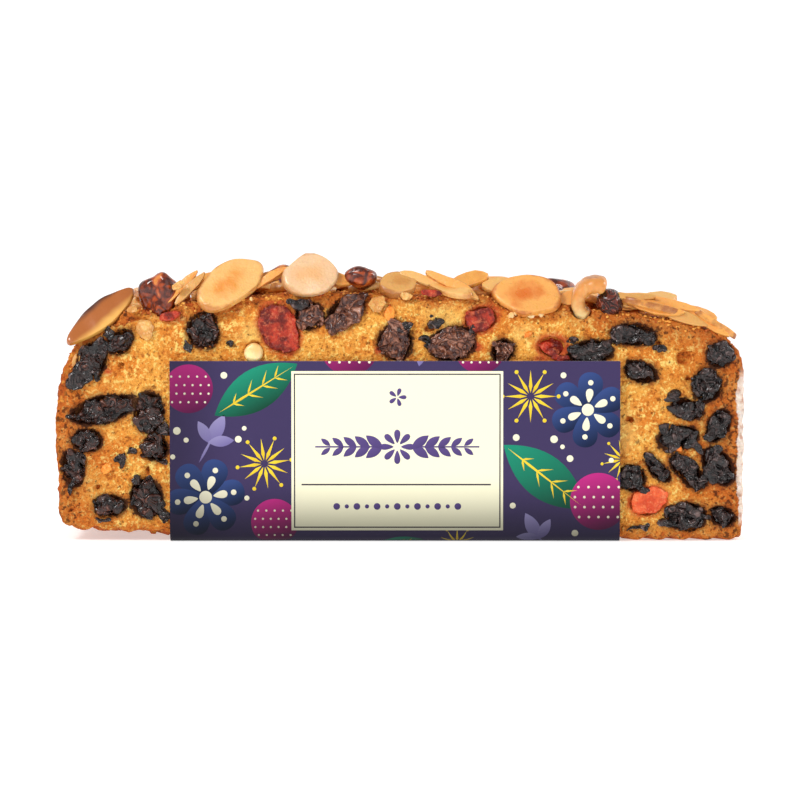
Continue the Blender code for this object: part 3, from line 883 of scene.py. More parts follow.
# The cherries
# Glace cherries, cut through: dark red and moist, with a grainy sugared pulp. The one at the lower right
# is a paler salmon red, and one lies deeper in the crumb at its top. The back's face has its own.

CHERRY_TEAR = 2.6 * MM
CHERRY_PULP = {"size": 1.0 * MM, "depth": 0.8 * MM}
# Pulp tones: low body, which is also the painted shade in the grain's hollows, high body, and lit dots,
# partly painted light
CHERRY_DARK = ((100, 20, 14), (190, 58, 34), (226, 120, 78))
CHERRY_SALMON = ((212, 74, 34), (236, 104, 56), (250, 158, 104))
SUNKEN_CHERRY = "cherry_3"
SUNKEN_DEPTH = 2.6 * MM
CHERRY_SWELL = 1.14
SALMON_BELOW_Z = 20 * MM
CHIP_TEAR = 1.4 * MM
pulp_texture = relief_texture("cherry_pulp", CHERRY_PULP["size"], 2)


def pulp_finish(name, low, high, lit_speck):
    """A moist, slightly see-through flesh with a sugary grain, with painted shade in the grain's hollows
    and painted light on its lit dots.
    """
    made, tree, shader = principled(
        name, Roughness=0.34, Specular_IOR_Level=0.3,
        Subsurface_Weight=0.25, Subsurface_Radius=(0.002, 0.0005, 0.0003),
    )
    net = Net(tree)
    pulp_body = net.mix(net.ramp(net.noise(3.4 * MM, 2), 0.36, 0.64), low, high)
    pulp = use_group(net, grain, Body=pulp_body, Speck=lit_speck, Gap=low,
                     Scale=1 / (0.7 * MM), Specks=0.5, Gaps=0.7)
    net.feed(shader, pulp.outputs["Color"], pulp.outputs["Height"], 0.8 * MM, 0.9)
    return made


def finish_pulp(fruit, tear, material, *nodes, slot="cherry"):
    """Tears a fruit's outline, presses it to the cut, and gives it its pulp and its material."""
    displace(fruit, tear_texture, tear, direction="RGB_TO_XYZ")
    press_to_cut(fruit)
    displace(fruit, pulp_texture, CHERRY_PULP["depth"])
    press_to_cut(fruit, 0.8)
    dress(fruit, material, slot, *nodes)


cherry_dark = pulp_finish("cherry_dark", *CHERRY_DARK)
cherry_salmon = pulp_finish("cherry_salmon", *CHERRY_SALMON)
for node in cherry_nodes:
    cherry = rounded_copy(node, "_fruit")
    swell(cherry, CHERRY_SWELL)
    if node == SUNKEN_CHERRY:
        low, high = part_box(node)
        for corner in cherry.data.vertices:
            share = (corner.co.z - low.z) / (high.z - low.z)
            corner.co.y += SUNKEN_DEPTH * min(max(1.6 * share - 0.2, 0.0), 1.0)
    cherry_material = cherry_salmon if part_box(node)[1].z < SALMON_BELOW_Z else cherry_dark
    finish_pulp(cherry, CHERRY_TEAR, cherry_material, node)
finish_pulp(gather("back_cherries", lump_model, back_rows[:BACK_CHERRIES]), CHIP_TEAR, cherry_dark)


# The candied bits
# Chips of nut, orange peel and cherry, chopped fine in the batter, and grains of sugar, that the knife
# laid open. They lie flush with the crumb around them.

# Middle X and Z, width and height, and turn, in millimetres and degrees
NUT_CHIPS = (
    (-60.6, 50.4, 4.2, 4.6, 20),
    (-5.4, 56.6, 4.6, 3.6, 40),
    (-52.6, 60.6, 3.0, 1.6, 40),
    (1.6, 58.4, 2.6, 1.6, 10),
    (-63.6, 55.6, 2.2, 1.4, 30),
)
PEEL_CHIPS = (
    (-2.4, 54.2, 3.4, 2.4, 60),
    (-69.8, 17.3, 2.4, 2.4, 0),
    (66.4, 22.0, 2.0, 1.2, 0),
    (30.4, 49.2, 2.0, 1.2, 30),
)
RED_CHIPS = (
    (-54.6, 53.6, 5.4, 2.4, 14),
    (7.4, 59.2, 5.6, 1.8, -6),
    (19.6, 52.2, 6.2, 4.4, 40),
    (38.0, 43.8, 4.4, 1.6, 0),
)
SUGAR_GRAINS = (
    (26.6, 54.0, 1.5, 1.3, 0),
    (27.8, 54.6, 1.0, 1.0, 0),
    (30.8, 53.8, 1.3, 1.1, 0),
    (33.4, 53.9, 1.0, 0.9, 0),
    (-35.4, 57.6, 0.8, 0.7, 0),
)
SUGAR_COLOURS = ((240, 190, 120), (250, 220, 166), (255, 244, 214))
NUT_CHIP_COLOURS = ((206, 140, 72), (234, 180, 100), (250, 216, 156))
PEEL_CHIP_COLOURS = ((232, 122, 40), (246, 160, 60), (252, 196, 110))
CHIP_DEPTH = 2.0
for name, rows, material, slot in (
    ("nut_chips", NUT_CHIPS, pulp_finish("nut_chip", *NUT_CHIP_COLOURS), "almond"),
    ("peel_chips", PEEL_CHIPS, pulp_finish("peel_chip", *PEEL_CHIP_COLOURS), "cherry"),
    ("red_chips", RED_CHIPS, cherry_dark, "cherry"),
    ("sugar_grains", SUGAR_GRAINS, pulp_finish("sugar", *SUGAR_COLOURS), "almond"),
):
    chips = gather(name, lump_model, [in_cut_face(*row, CHIP_DEPTH) for row in rows])
    finish_pulp(chips, CHIP_TEAR, material, slot=slot)


# The almonds
# Blanched almonds, sliced and baked on the top: waxy cream at the middle and toasted orange and brown
# towards their rims, with fine lines along their length. The long one at the left is glazed brown.

ALMOND_WARP = {"size": 8 * MM, "depth": 0.8 * MM}
ALMOND_TONES = {
    "pale": ((230, 148, 60), (236, 184, 108), (200, 128, 60)),
    "white": ((232, 178, 122), (232, 192, 148), (206, 150, 96)),
    "amber": ((220, 116, 36), (240, 172, 88), (190, 104, 42)),
    "toasted": ((216, 130, 46), (236, 168, 80), (160, 88, 34)),
    "tan": ((204, 140, 66), (220, 164, 90), (168, 100, 46)),
    "curled": ((226, 192, 128), (222, 146, 66), (160, 96, 46)),
    "ivory": ((252, 226, 166), (244, 200, 128), (224, 164, 90)),
}
GLAZED_TONES = ((236, 176, 84), (172, 94, 32), (78, 34, 16))
ALMOND_TONE_OF = {
    "almond_03": "white", "almond_04": "tan", "almond_06": "toasted", "almond_07": "amber",
    "almond_08": "toasted", "almond_09": "toasted", "almond_10": "toasted", "almond_11": "toasted",
    "almond_13": "toasted", "almond_16": "toasted",
}
ALMOND_SWELL = 1.05
ALMOND_FLATNESS = 2.2
ALMOND_CHORD = 0.84
ALMOND_LOBES = (0.035, 0.015)
GLAZED_SLICE = "almond_01"
warp_texture = relief_texture("almond_warp", ALMOND_WARP["size"], 1)


def slice_like(piece, seed):
    """Gives an oval slice its flat sides, uneven outline and one broken edge, and stores its rim."""
    points = numpy.array([corner.co for corner in piece.data.vertices])
    middle = points.mean(axis=0)
    turns = numpy.linalg.eigh((points - middle).T @ (points - middle))[1]
    local = (points - middle) @ turns
    reach = numpy.abs(local).max(axis=0)
    thin, across, along = (local / reach).T
    thin = numpy.tanh(ALMOND_FLATNESS * thin) / math.tanh(ALMOND_FLATNESS)
    around_rim = numpy.arctan2(across, along)
    uneven = 1 + ALMOND_LOBES[0] * numpy.sin(3 * around_rim + seed)
    uneven += ALMOND_LOBES[1] * numpy.sin(5 * around_rim + 2.3 * seed)
    along, across = along * uneven, across * uneven
    broken = (math.cos(2.4 * seed), math.sin(2.4 * seed))
    over = numpy.maximum(along * broken[0] + across * broken[1] - ALMOND_CHORD, 0) * 0.7
    along, across = along - over * broken[0], across - over * broken[1]
    shaped = numpy.stack((thin, across, along), axis=1) * reach @ turns.T + middle
    for corner, place in zip(piece.data.vertices, shaped):
        corner.co = place
    point_attribute(piece, "rim", numpy.minimum(numpy.hypot(along, across), 1).tolist())
    upward = 1 if turns[2, 1] > 0 else -1
    point_attribute(piece, "side", (0.5 + 0.5 * upward * across).tolist())


def almond_finish(name, heart, flesh, edge):
    """A waxy nut colour with a toasted heart and a browned edge, and fine lines."""
    made, tree, shader = principled(
        name, Coat_Weight=0.2, Coat_Roughness=0.16,
        Subsurface_Weight=0.4, Subsurface_Radius=(0.003, 0.0014, 0.0006),
    )
    net = Net(tree)
    rim = net.attribute("rim")
    clouds = net.times_plus(net.noise(5 * MM, 3), 1.5, rim)
    nut = net.mix(net.ramp(clouds, 0.85, 1.5), heart, flesh)
    edged = net.times_plus(net.noise(1.6 * MM, 3), 0.3, rim)
    nut = net.mix(net.ramp(edged, 1.02, 1.16, 0, 0.9), nut, edge)
    flecks = net.ramp(net.noise(0.7 * MM, 3), 0.6, 0.75, 0, 0.3)
    lines = net.times_plus(net.noise(0.5 * MM, 2), 0.3, net.noise(2 * MM, 2))
    net.feed(shader, net.mix(flecks, nut, edge), lines, 0.3 * MM, 0.7)
    net.put(shader.inputs["Roughness"], net.ramp(net.noise(3 * MM, 2), 0.3, 0.7, 0.25, 0.5))
    return made


almond_materials = {tone: almond_finish("almond_" + tone, *ALMOND_TONES[tone]) for tone in ALMOND_TONES}
glazed_material, glazed_tree, glazed_shader = principled(
    "almond_glazed", Roughness=0.24, Coat_Weight=0.5, Coat_Roughness=0.1,
)
net = Net(glazed_tree)
side = net.times_plus(net.noise(7 * MM, 2), 0.3, net.attribute("side"))
glazed = net.mix(net.ramp(side, 0.2, 0.55), GLAZED_TONES[0], GLAZED_TONES[1])
glazed = net.mix(net.ramp(side, 0.85, 1.12), glazed, GLAZED_TONES[2])
net.feed(glazed_shader, glazed, net.noise(3 * MM, 2), 0.15 * MM, 0.7)
for node in almond_nodes:
    almond = rounded_copy(node, "_nut")
    swell(almond, ALMOND_SWELL)
    slice_like(almond, int(node[-2:]))
    displace(almond, warp_texture, ALMOND_WARP["depth"])
    tone = almond_materials[ALMOND_TONE_OF.get(node, "pale")]
    dress(almond, glazed_material if node == GLAZED_SLICE else tone, "almond", node)


# The curled offcut, its kernel and the hazelnut
# A thick hooked piece of almond that curls round a kernel coated in burnt caramel, and half a hazelnut
# that the knife laid open above the sleeve.

# Caramel tones: crease, skin and ridge, with painted shade in the creases and a painted highlight on the
# ridges
CARAMEL_TONES = ((34, 8, 4), (110, 38, 20), (230, 168, 140))
caramel = dried_fruit_finish("burnt_caramel", *CARAMEL_TONES)
for node, material, slot, fatter in (
    ("almond_curl", almond_materials["curled"], "almond", 0.2 * MM),
    ("caramel_kernel", caramel, "caramel", 1.0 * MM),
    ("hazelnut_half", almond_materials["ivory"], "hazelnut", 0.2 * MM),
):
    nut = rounded_copy(node, "_nut")
    finish_modifier(nut, "DISPLACE", strength=fatter, mid_level=0)
    low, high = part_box(node)
    heights = [(corner.co.z - low.z) / (high.z - low.z) for corner in nut.data.vertices]
    point_attribute(nut, "rim", heights)
    displace(nut, warp_texture, ALMOND_WARP["depth"])
    dress(nut, material, slot, node)


# The pecans
# Broken pecans in a dark caramel glaze: plump lobes with deep furrows between them, red-brown and shiny.

# Pecan tones: crease, skin and ridge, with painted shade in the creases and a painted highlight on the
# ridges
PECAN_TONES = ((72, 20, 6), (166, 68, 24), (230, 144, 66))
PECAN_FURROW = {"size": 4.0 * MM, "depth": 1.7 * MM}
PECAN_SWELL = 1.04
furrow_texture = relief_texture("pecan_furrow", PECAN_FURROW["size"], 0)
pecan_material = dried_fruit_finish("glazed_pecan", *PECAN_TONES, fold_size=4.4, fold_depth=0.14)
for node in pecan_nodes:
    pecan = rounded_copy(node, "_nut")
    swell(pecan, PECAN_SWELL)
    displace(pecan, furrow_texture, PECAN_FURROW["depth"])
    dress(pecan, pecan_material, "pecan", node)


# The slivers
# Thin offcuts of almond between the big slices, baked on to the crust. One is modelled and copied: some
# lie where the solid has them fused, and more lie along the cut edge as the photograph shows.

SLIVERS = 22
SLIVER_SIZE = (11.4 * MM, 7.0 * MM, 1.9 * MM)
SLIVER_FIELD = (72 * MM, 19 * MM)
SLIVER_RISE = 0.45 * MM
GOLDEN_TURN = math.radians(137.508)

# Slivers at the cut edge: middle X, Y and Z, length and width in millimetres, lean and spin in degrees
EDGE_SLIVERS = (
    (-52.0, -20.4, 60.4, 11.0, 2.0, 70, 46),
    (-50.0, -20.9, 60.0, 11.0, 2.2, 72, 50),
    (-47.8, -18.0, 61.4, 9.0, 3.0, 60, 36),
    (-55.4, -19.6, 59.2, 8.0, 2.4, 60, 30),
    (-30.6, -19.6, 62.4, 10.0, 2.0, 66, 32),
    (-31.6, -17.6, 62.2, 10.0, 3.0, 56, 24),
    (-15.6, -19.0, 62.6, 10.0, 3.4, 56, -16),
    (4.6, -20.0, 62.4, 10.0, 2.4, 62, -14),
    (11.6, -21.4, 61.6, 12.5, 2.2, 66, -27),
    (14.8, -21.9, 60.0, 9.6, 2.0, 66, -36),
    (16.4, -18.4, 61.8, 10.0, 4.4, 50, 16),
    (24.4, -18.4, 61.0, 10.0, 4.4, 44, 10),
    (40.6, -19.0, 58.0, 6.0, 4.0, 50, 20),
    (55.0, -21.0, 58.0, 12.0, 2.2, 56, -2),
    (61.0, -21.6, 55.5, 14.0, 3.2, 72, -10),
    (57.0, -19.4, 57.0, 14.0, 4.6, 60, -4),
    (65.2, -20.4, 56.2, 13.0, 2.0, 60, -14),
    (67.6, -21.4, 53.4, 12.0, 3.0, 74, -20),
    (73.2, -21.4, 52.0, 12.6, 2.2, 70, -33),
    (60.6, -14.6, 57.2, 12.0, 6.0, 26, 10),
    (70.4, -14.6, 54.0, 12.0, 6.0, 30, -24),
    (-76.7, -21.6, 43.6, 5.0, 2.4, 80, 70),
)
EDGE_SLIVER_THICK = 1.2
SLIVER_TONES = ("toasted", "pale", "amber", "tan")
SLIVER_SIDES = 14
SLIVER_TAPER = 0.42
SLIVER_WARP = 2.0 * MM
sliver_model = start_piece("sliver_model", bpy.ops.mesh.primitive_circle_add,
                           vertices=SLIVER_SIDES, radius=0.5, fill_type="NGON")
bpy.ops.object.mode_set(mode="EDIT")
bpy.ops.mesh.select_all(action="SELECT")
bpy.ops.mesh.extrude_region_move(TRANSFORM_OT_translate={"value": (0, 0, 1)})
bpy.ops.mesh.select_all(action="SELECT")
bpy.ops.transform.translate(value=(0, 0, -0.5))
bpy.ops.mesh.normals_make_consistent(inside=False)
bpy.ops.object.mode_set(mode="OBJECT")
for corner in sliver_model.data.vertices:
    corner.co.y *= 1 - SLIVER_TAPER * max(2 * corner.co.x, 0.0) ** 2
finish_modifier(sliver_model, "BEVEL", width=0.07, segments=2, limit_method="ANGLE", angle_limit=1.0)
rims = [0.94 * math.hypot(2 * corner.co.x, 2 * corner.co.y) for corner in sliver_model.data.vertices]
point_attribute(sliver_model, "rim", rims)


def turned(yaw, lean, spin):
    """A turn by spin about Z, then a lean about X towards the cut face, then a yaw about Z."""
    return Matrix.Rotation(yaw, 4, "Z") @ Matrix.Rotation(lean, 4, "X") @ Matrix.Rotation(spin, 4, "Z")


sliver_places = []
for index in range(SLIVERS):
    reach = math.sqrt((index + 0.5) / SLIVERS)
    angle = index * GOLDEN_TURN
    sliver_x = SLIVER_FIELD[0] * reach * math.cos(angle)
    sliver_y = SLIVER_FIELD[1] * reach * math.sin(angle)
    seat = Matrix.Translation((sliver_x, sliver_y, crown(sliver_x) + SLIVER_RISE))
    turn = turned(angle, 0.5 * math.sin(index * 1.7), index * 0.9)
    sliver_places.append(seat @ turn @ Matrix.Diagonal((*SLIVER_SIZE, 1)))
for x_mm, y_mm, z_mm, length, width, lean, spin in EDGE_SLIVERS:
    seat = Matrix.Translation((x_mm * MM, y_mm * MM, z_mm * MM))
    turn = turned(0, math.radians(lean), math.radians(spin))
    size = Matrix.Diagonal((length * MM, width * MM, EDGE_SLIVER_THICK * MM, 1))
    sliver_places.append(seat @ turn @ size)
for index, tone in enumerate(SLIVER_TONES):
    slivers = gather("slivers_" + tone, sliver_model, sliver_places[index::len(SLIVER_TONES)])
    displace(slivers, warp_texture, SLIVER_WARP, direction="Z")
    dress(slivers, almond_materials[tone], "almond")


# The loose crumbs
# Grains of sponge and crust that the knife and the nuts shed, caught on the top and along the cut edges.

CRUMBS = 1700
CRUMB_SIZE = (0.4 * MM, 1.1 * MM)
CRUMB_FIELD_X = (-79, 80)
CRUMB_FIELD_Y = (-22, 22)
CRUMB_EDGE_Y = (-22.6, -19)
CRUMBS_ABOVE_Z = 40 * MM
CRUMB_DENT = {"size": 0.6 * MM, "depth": 0.5 * MM}
crumb_random = random.Random(7)
crumb_model = start_piece("crumb_model", bpy.ops.mesh.primitive_ico_sphere_add, subdivisions=1, radius=0.5)
crust_tree = BVHTree.FromObject(sponge, bpy.context.evaluated_depsgraph_get())
crumb_places = []
while len(crumb_places) < CRUMBS:
    crumb_x = crumb_random.uniform(*CRUMB_FIELD_X) * MM
    near_edge = crumb_random.random() < 0.5
    crumb_y = crumb_random.uniform(*(CRUMB_EDGE_Y if near_edge else CRUMB_FIELD_Y)) * MM
    hit = crust_tree.ray_cast(Vector((crumb_x, crumb_y, 0.1)), Vector((0, 0, -1)))[0]
    if hit and hit.z > CRUMBS_ABOVE_Z:
        size = crumb_random.uniform(*CRUMB_SIZE)
        stretch = Matrix.Diagonal((size, size * crumb_random.uniform(0.5, 1), size * 0.6, 1))
        turn = turned(crumb_random.uniform(0, 6), crumb_random.uniform(-1, 1), 0)
        crumb_places.append(Matrix.Translation(hit + Vector((0, 0, size * 0.1))) @ turn @ stretch)
crumbs = gather("loose_crumbs", crumb_model, crumb_places)
displace(crumbs, relief_texture("crumb_shape", CRUMB_DENT["size"], 1), CRUMB_DENT["depth"])
crumb_material, crumb_tree, crumb_shader = principled("loose_crumb", Roughness=0.8, Specular_IOR_Level=0.3)
net = Net(crumb_tree)
crumb_body = net.mix(net.ramp(net.noise(2.6 * MM, 1), 0.4, 0.6), CRUST_RED, SPONGE_GOLD)
crumb_look = use_group(net, grain, Body=crumb_body, Speck=SPONGE_PALE, Gap=SPONGE_BROWN,
                       Scale=1 / (0.6 * MM), Specks=0.5, Gaps=0.6)
net.put(crumb_shader.inputs["Base Color"], crumb_look.outputs["Color"])
dress(crumbs, crumb_material, "sponge")
for model in (lump_model, sliver_model, crumb_model):
    bpy.data.objects.remove(model, do_unlink=True)


# The sleeve's card
# One strip of silk-coated board, folded up at the front and the back of the base it makes under the
# cake. It is printed violet, with painted shade that darkens it towards the base fold and the left end,
# and its cut edges show the pale board.

sleeve_low, sleeve_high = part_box("sleeve")
BOARD = 0.46 * MM
CARD_FACE = sleeve_high.y - 0.04 * MM
CARD_TOP = sleeve_high.z - 0.02 * MM
CARD_ENDS = (sleeve_low.x, sleeve_high.x)
CARD_MIDDLE = (sleeve_low.x + sleeve_high.x) / 2
CARD_LIFT = 0.02 * MM
FOLD_RADIUS = 2.6 * MM
FOLD_STEPS = 10
VIOLET = (61, 50, 90)
BOARD_CORE = (220, 214, 206)
BOARD_FIBRE = (202, 194, 184)
CREASE_ANGLE = math.radians(40)

# The painted shade on the card and its print: how far it reaches in from the base fold and from the
# left end, and its least light
LOW_SHADE = {"reach": 17 * MM, "least": 0.24}
LEFT_SHADE = {"reach": 16 * MM, "least": 0.55}
print_shade, shade_net, shade_in, shade_out = new_group(
    "print_shade", (("Ink", "Color", (1, 1, 1, 1)),), (("Color", "Color"),)
)
x, y, z = shade_net.axes()
# Painted shade: the card and its inks are darkened towards the base fold and towards the left end
low_shade = shade_net.ramp(z, 0.0, LOW_SHADE["reach"], LOW_SHADE["least"], 1.0)
shaded_to = CARD_ENDS[0] + LEFT_SHADE["reach"]
left_shade = shade_net.ramp(x, CARD_ENDS[0], shaded_to, LEFT_SHADE["least"], 1.0)
shade = shade_net.times(low_shade, left_shade)
shaded_ink = shade_net.mix(1.0, shade_in.outputs["Ink"], shade, "MULTIPLY")
shade_net.put(shade_out.inputs["Color"], shaded_ink)


def ink_finish(name, light_tone, dark_tone):
    """A silk print: two ink tones that blend over a motif, under the painted shade of the fold and left
    end.
    """
    made, tree, shader = principled(name, Roughness=0.5, Specular_IOR_Level=0.18)
    net = Net(tree)
    ink = net.mix(net.attribute("shade"), light_tone, dark_tone)
    shaded = use_group(net, print_shade, Ink=ink).outputs["Color"]
    net.feed(shader, shaded, net.noise(0.5 * MM, 2), 0.01 * MM, 0.25)
    return made


sleeve = start_piece("sleeve_card", bpy.ops.mesh.primitive_plane_add,
                     size=1, location=(CARD_MIDDLE, 0, CARD_LIFT))
bpy.ops.object.transform_apply(location=True, rotation=False, scale=False)
bpy.ops.object.mode_set(mode="EDIT")
bpy.ops.transform.resize(value=(CARD_ENDS[1] - CARD_ENDS[0], 2 * (CARD_FACE - FOLD_RADIUS), 1),
                         center_override=(CARD_MIDDLE, 0, 0))
for side in (-1, 1):
    fold_y = side * (CARD_FACE - FOLD_RADIUS)
    pick_edges(sleeve, lambda point: abs(point.y - fold_y) < 0.01 * MM and point.z < 0.1 * MM)
    bpy.ops.mesh.spin(
        steps=FOLD_STEPS, angle=-side * math.radians(90),
        center=(CARD_MIDDLE, fold_y, FOLD_RADIUS + CARD_LIFT), axis=(1, 0, 0),
    )
    bpy.ops.mesh.extrude_region_move(
        TRANSFORM_OT_translate={"value": (0, 0, CARD_TOP - FOLD_RADIUS - CARD_LIFT)}
    )
bpy.ops.mesh.select_all(action="SELECT")
bpy.ops.mesh.remove_doubles(threshold=0.005 * MM)
bpy.ops.mesh.normals_make_consistent(inside=False)
bpy.ops.object.mode_set(mode="OBJECT")
base_face = min(sleeve.data.polygons, key=lambda face: face.center.z)
if base_face.normal.z > 0:
    sleeve.data.flip_normals()
card_material = ink_finish("violet_card", VIOLET, VIOLET)
board_material, board_tree, board_shader = principled("bare_board", Roughness=0.8, Specular_IOR_Level=0.2)
net = Net(board_tree)
net.put(board_shader.inputs["Base Color"], net.mix(net.noise(0.6 * MM, 2), BOARD_CORE, BOARD_FIBRE))
sleeve.data.materials.append(card_material)
sleeve.data.materials.append(board_material)
finish_modifier(sleeve, "SOLIDIFY", thickness=BOARD, offset=-1, use_even_offset=True,
                material_offset=1, material_offset_rim=1)
sleeve.data.shade_smooth()
sleeve.data.set_sharp_from_angle(angle=CREASE_ANGLE)
ride_and_replace(sleeve, "printed_card", "sleeve")


# The print
# A generic pattern of blossoms, leaves, berries, bursts and dots in navy, green, magenta, gold, lilac and
# cream inks, with a cream panel that holds a frame, a rule and a plain ornament. Each motif is drawn once
# flat, copied over the card, trimmed at its edges and laid a hair above it, on the front and the back.

INK_STEP = 0.009 * MM
INK_THICK = 0.03 * MM
INK_MARGIN = 0.02 * MM
STAMP_STEP = 0.001 * MM
STAMP_STEPS = 7
FOLD_CUTS = (0.0, 0.2, 0.4, 0.6, 0.8, 1.0, 1.2)

# In millimetres: the panel's left, right, base and top, and the rule's left, right, height and thickness
PANEL = (-25.8, 24.5, 2.7, 40.6)
RULE = (-23.4, 21.6, 13.6, 0.36)
FRAME_INSET = 0.75
FRAME_LINE = 0.3
ORNAMENT_HEIGHT = 22.6
TOP_BLOSSOM_HEIGHT = 34.4
MARKS_HEIGHT = 8.4

# Inks: the tones at a motif's two ends
NAVY = ((52, 74, 132), (8, 24, 56))
GREEN = ((24, 142, 112), (4, 66, 46))
MAGENTA = ((190, 40, 128), (92, 12, 70))
GOLD = ((244, 216, 60), (222, 186, 40))
LILAC = ((150, 142, 188), (116, 106, 160))
CREAM = ((244, 240, 214), (236, 230, 200))
PANEL_CREAM = 2 * ((250, 246, 214),)
DARK_LINE = 2 * ((62, 54, 66),)
ORNAMENT = ((92, 74, 132), (78, 62, 116))

# Motifs and dots as middle X and Z, size and, for motifs, turn, in millimetres and degrees
BLOSSOMS = ((-46.2, 10.6, 9.4, 10), (44.6, 31.4, 9.0, 24))
LEAVES = ((-34.2, 36.2, 11.6, 32), (34.4, 15.4, 12.4, -38), (-1.0, -2.2, 7.0, 20))
BERRIES = ((-50.2, 36.4, 5.8, 0), (-29.8, 4.6, 5.6, 0), (47.2, 9.6, 6.8, 0), (-12.0, 46.6, 7.0, 0),
           (19.0, 46.0, 6.0, 0))
BURSTS = ((-32.2, 18.6, 6.6, 8), (31.0, 34.6, 6.8, 0), (53.0, 19.6, 5.2, 12), (13.6, -1.4, 5.0, 0))
SPRAYS = ((-43.6, 26.6, 7.4, 62), (31.6, 3.4, 7.0, 118), (3.0, 45.4, 6.0, 200))
SPRAY_LEAVES = ((0.0, 0.0, 0.55, 0), (-0.25, 0.3, 0.42, 58), (-0.25, -0.3, 0.42, -58))
DOTS = ((-53.0, 26.4, 0.9), (-50.8, 24.2, 0.6), (-38.4, 24.4, 0.8), (-37.0, 27.0, 0.55), (-41.8, 39.6, 0.8),
        (-54.0, 20.2, 0.6), (27.6, 24.8, 0.8), (36.6, 24.4, 0.9), (38.6, 22.6, 0.55), (40.4, 19.8, 0.8),
        (50.2, 19.4, 0.6), (41.6, 2.0, 0.8), (38.8, 39.6, 0.7), (26.8, 8.6, 0.7), (-36.4, 10.4, 0.6))


def flat_model(name, vertices, outline):
    """A filled circle of radius 1, its corners moved to the motif's outline."""
    model = start_piece(name, bpy.ops.mesh.primitive_circle_add,
                        vertices=vertices, radius=1, fill_type="NGON")
    for corner in model.data.vertices:
        corner.co = Vector((*outline(corner.co.x, corner.co.y), 0))
    return model


disc = flat_model("disc_model", 48, lambda u, v: (u, v))
leaf = flat_model("leaf_model", 40, lambda u, v: (u, 0.42 * v * abs(v)))
petal = flat_model("petal_model", 28, lambda u, v: (0.5 + 0.5 * u, 0.3 * v * (0.75 + 0.35 * u)))
kite = flat_model("kite_model", 4, lambda u, v: (0.5 + 0.5 * u - 0.2 * abs(v), 0.07 * v))
square = flat_model("square_model", 4, lambda u, v: (u + v, v - u))


def flat(u, v, size_u, size_v=None, turn=0.0):
    """A placement in the print's own plane: middle, size and turn."""
    size = Matrix.Diagonal((size_u, size_u if size_v is None else size_v, 1, 1))
    return Matrix.Translation((u, v, 0)) @ Matrix.Rotation(math.radians(turn), 4, "Z") @ size


def placed(rows):
    """The placements of rows of middle, size and turn."""
    return [flat(u, v, size, turn=turn) for u, v, size, turn in rows]


def around(places, count, radius, size_u, size_v=None):
    """Placements set round the middle of each motif."""
    turns = [Matrix.Rotation(math.tau * step / count, 4, "Z") for step in range(count)]
    return [place @ turn @ flat(radius, 0, size_u, size_v) for place in places for turn in turns]


def stamped(model, place, lift):
    """One flat model at its place on the front of the card, with its blend of tones stored."""
    mesh = model.data.copy()
    mesh.transform(Matrix.Scale(MM, 4) @ place)
    falls = [corner.co.y - 0.5 * corner.co.x for corner in mesh.vertices]
    span = max(falls) - min(falls)
    shades = [(max(falls) - fall) / span for fall in falls]
    mesh.attributes.new("shade", "FLOAT", "POINT").data.foreach_set("value", shades)
    for corner in mesh.vertices:
        corner.co = Vector((corner.co.x, -CARD_FACE - lift, corner.co.y))
    return mesh


def whole(shape):
    """All the corners, edges and faces of a shape."""
    return shape.verts[:] + shape.edges[:] + shape.faces[:]


def print_ink(name, level, tones, *stamps):
    """Stamps flat models on the front and back of the card as one thin closed piece of ink.

    Each stamp is a model and its placements in millimetres. What runs over the card's edges is trimmed,
    and what runs over its fold is cut in strips and bent round it.
    """
    joined = bmesh.new()
    fold_top = FOLD_RADIUS + CARD_LIFT
    jobs = [(model, place) for model, places in stamps for place in places]
    for index, (model, place) in enumerate(jobs):
        mesh = stamped(model, place, level * INK_STEP + index % STAMP_STEPS * STAMP_STEP)
        joined.from_mesh(mesh)
        bpy.data.meshes.remove(mesh)
    planes = [
        ((CARD_ENDS[0] + INK_MARGIN, 0, 0), (-1, 0, 0), True),
        ((CARD_ENDS[1] - INK_MARGIN, 0, 0), (1, 0, 0), True),
        ((0, 0, fold_top - FOLD_CUTS[-1] * FOLD_RADIUS), (0, 0, -1), True),
        ((0, 0, CARD_TOP - INK_MARGIN), (0, 0, 1), True),
    ]
    planes += [((0, 0, fold_top - cut * FOLD_RADIUS), (0, 0, 1), False) for cut in FOLD_CUTS[:-1]]
    for point, normal, trims in planes:
        bmesh.ops.bisect_plane(
            joined, geom=whole(joined), plane_co=point, plane_no=normal, clear_outer=trims,
        )
    for corner in joined.verts:
        if corner.co.z < fold_top:
            bend = (fold_top - corner.co.z) / FOLD_RADIUS
            arm = -corner.co.y - CARD_FACE + FOLD_RADIUS
            corner.co.y = -(CARD_FACE - FOLD_RADIUS) - arm * math.cos(bend)
            corner.co.z = fold_top - arm * math.sin(bend)
    bmesh.ops.triangulate(joined, faces=joined.faces[:])
    copied = bmesh.ops.duplicate(joined, geom=whole(joined))["geom"]
    behind = [item for item in copied if isinstance(item, bmesh.types.BMVert)]
    half_turn = Matrix.Rotation(math.pi, 3, "Z")
    bmesh.ops.rotate(joined, verts=behind, cent=(CARD_MIDDLE, 0, 0), matrix=half_turn)
    for face in joined.faces:
        face.normal_update()
        if face.normal.y * face.calc_center_median().y < 0:
            face.normal_flip()
    piece = piece_from(name, joined)
    finish_modifier(piece, "SOLIDIFY", thickness=INK_THICK, offset=-1)
    piece.data.materials.append(ink_finish("ink_" + name, *tones))
    ride_and_replace(piece, "printed_card")


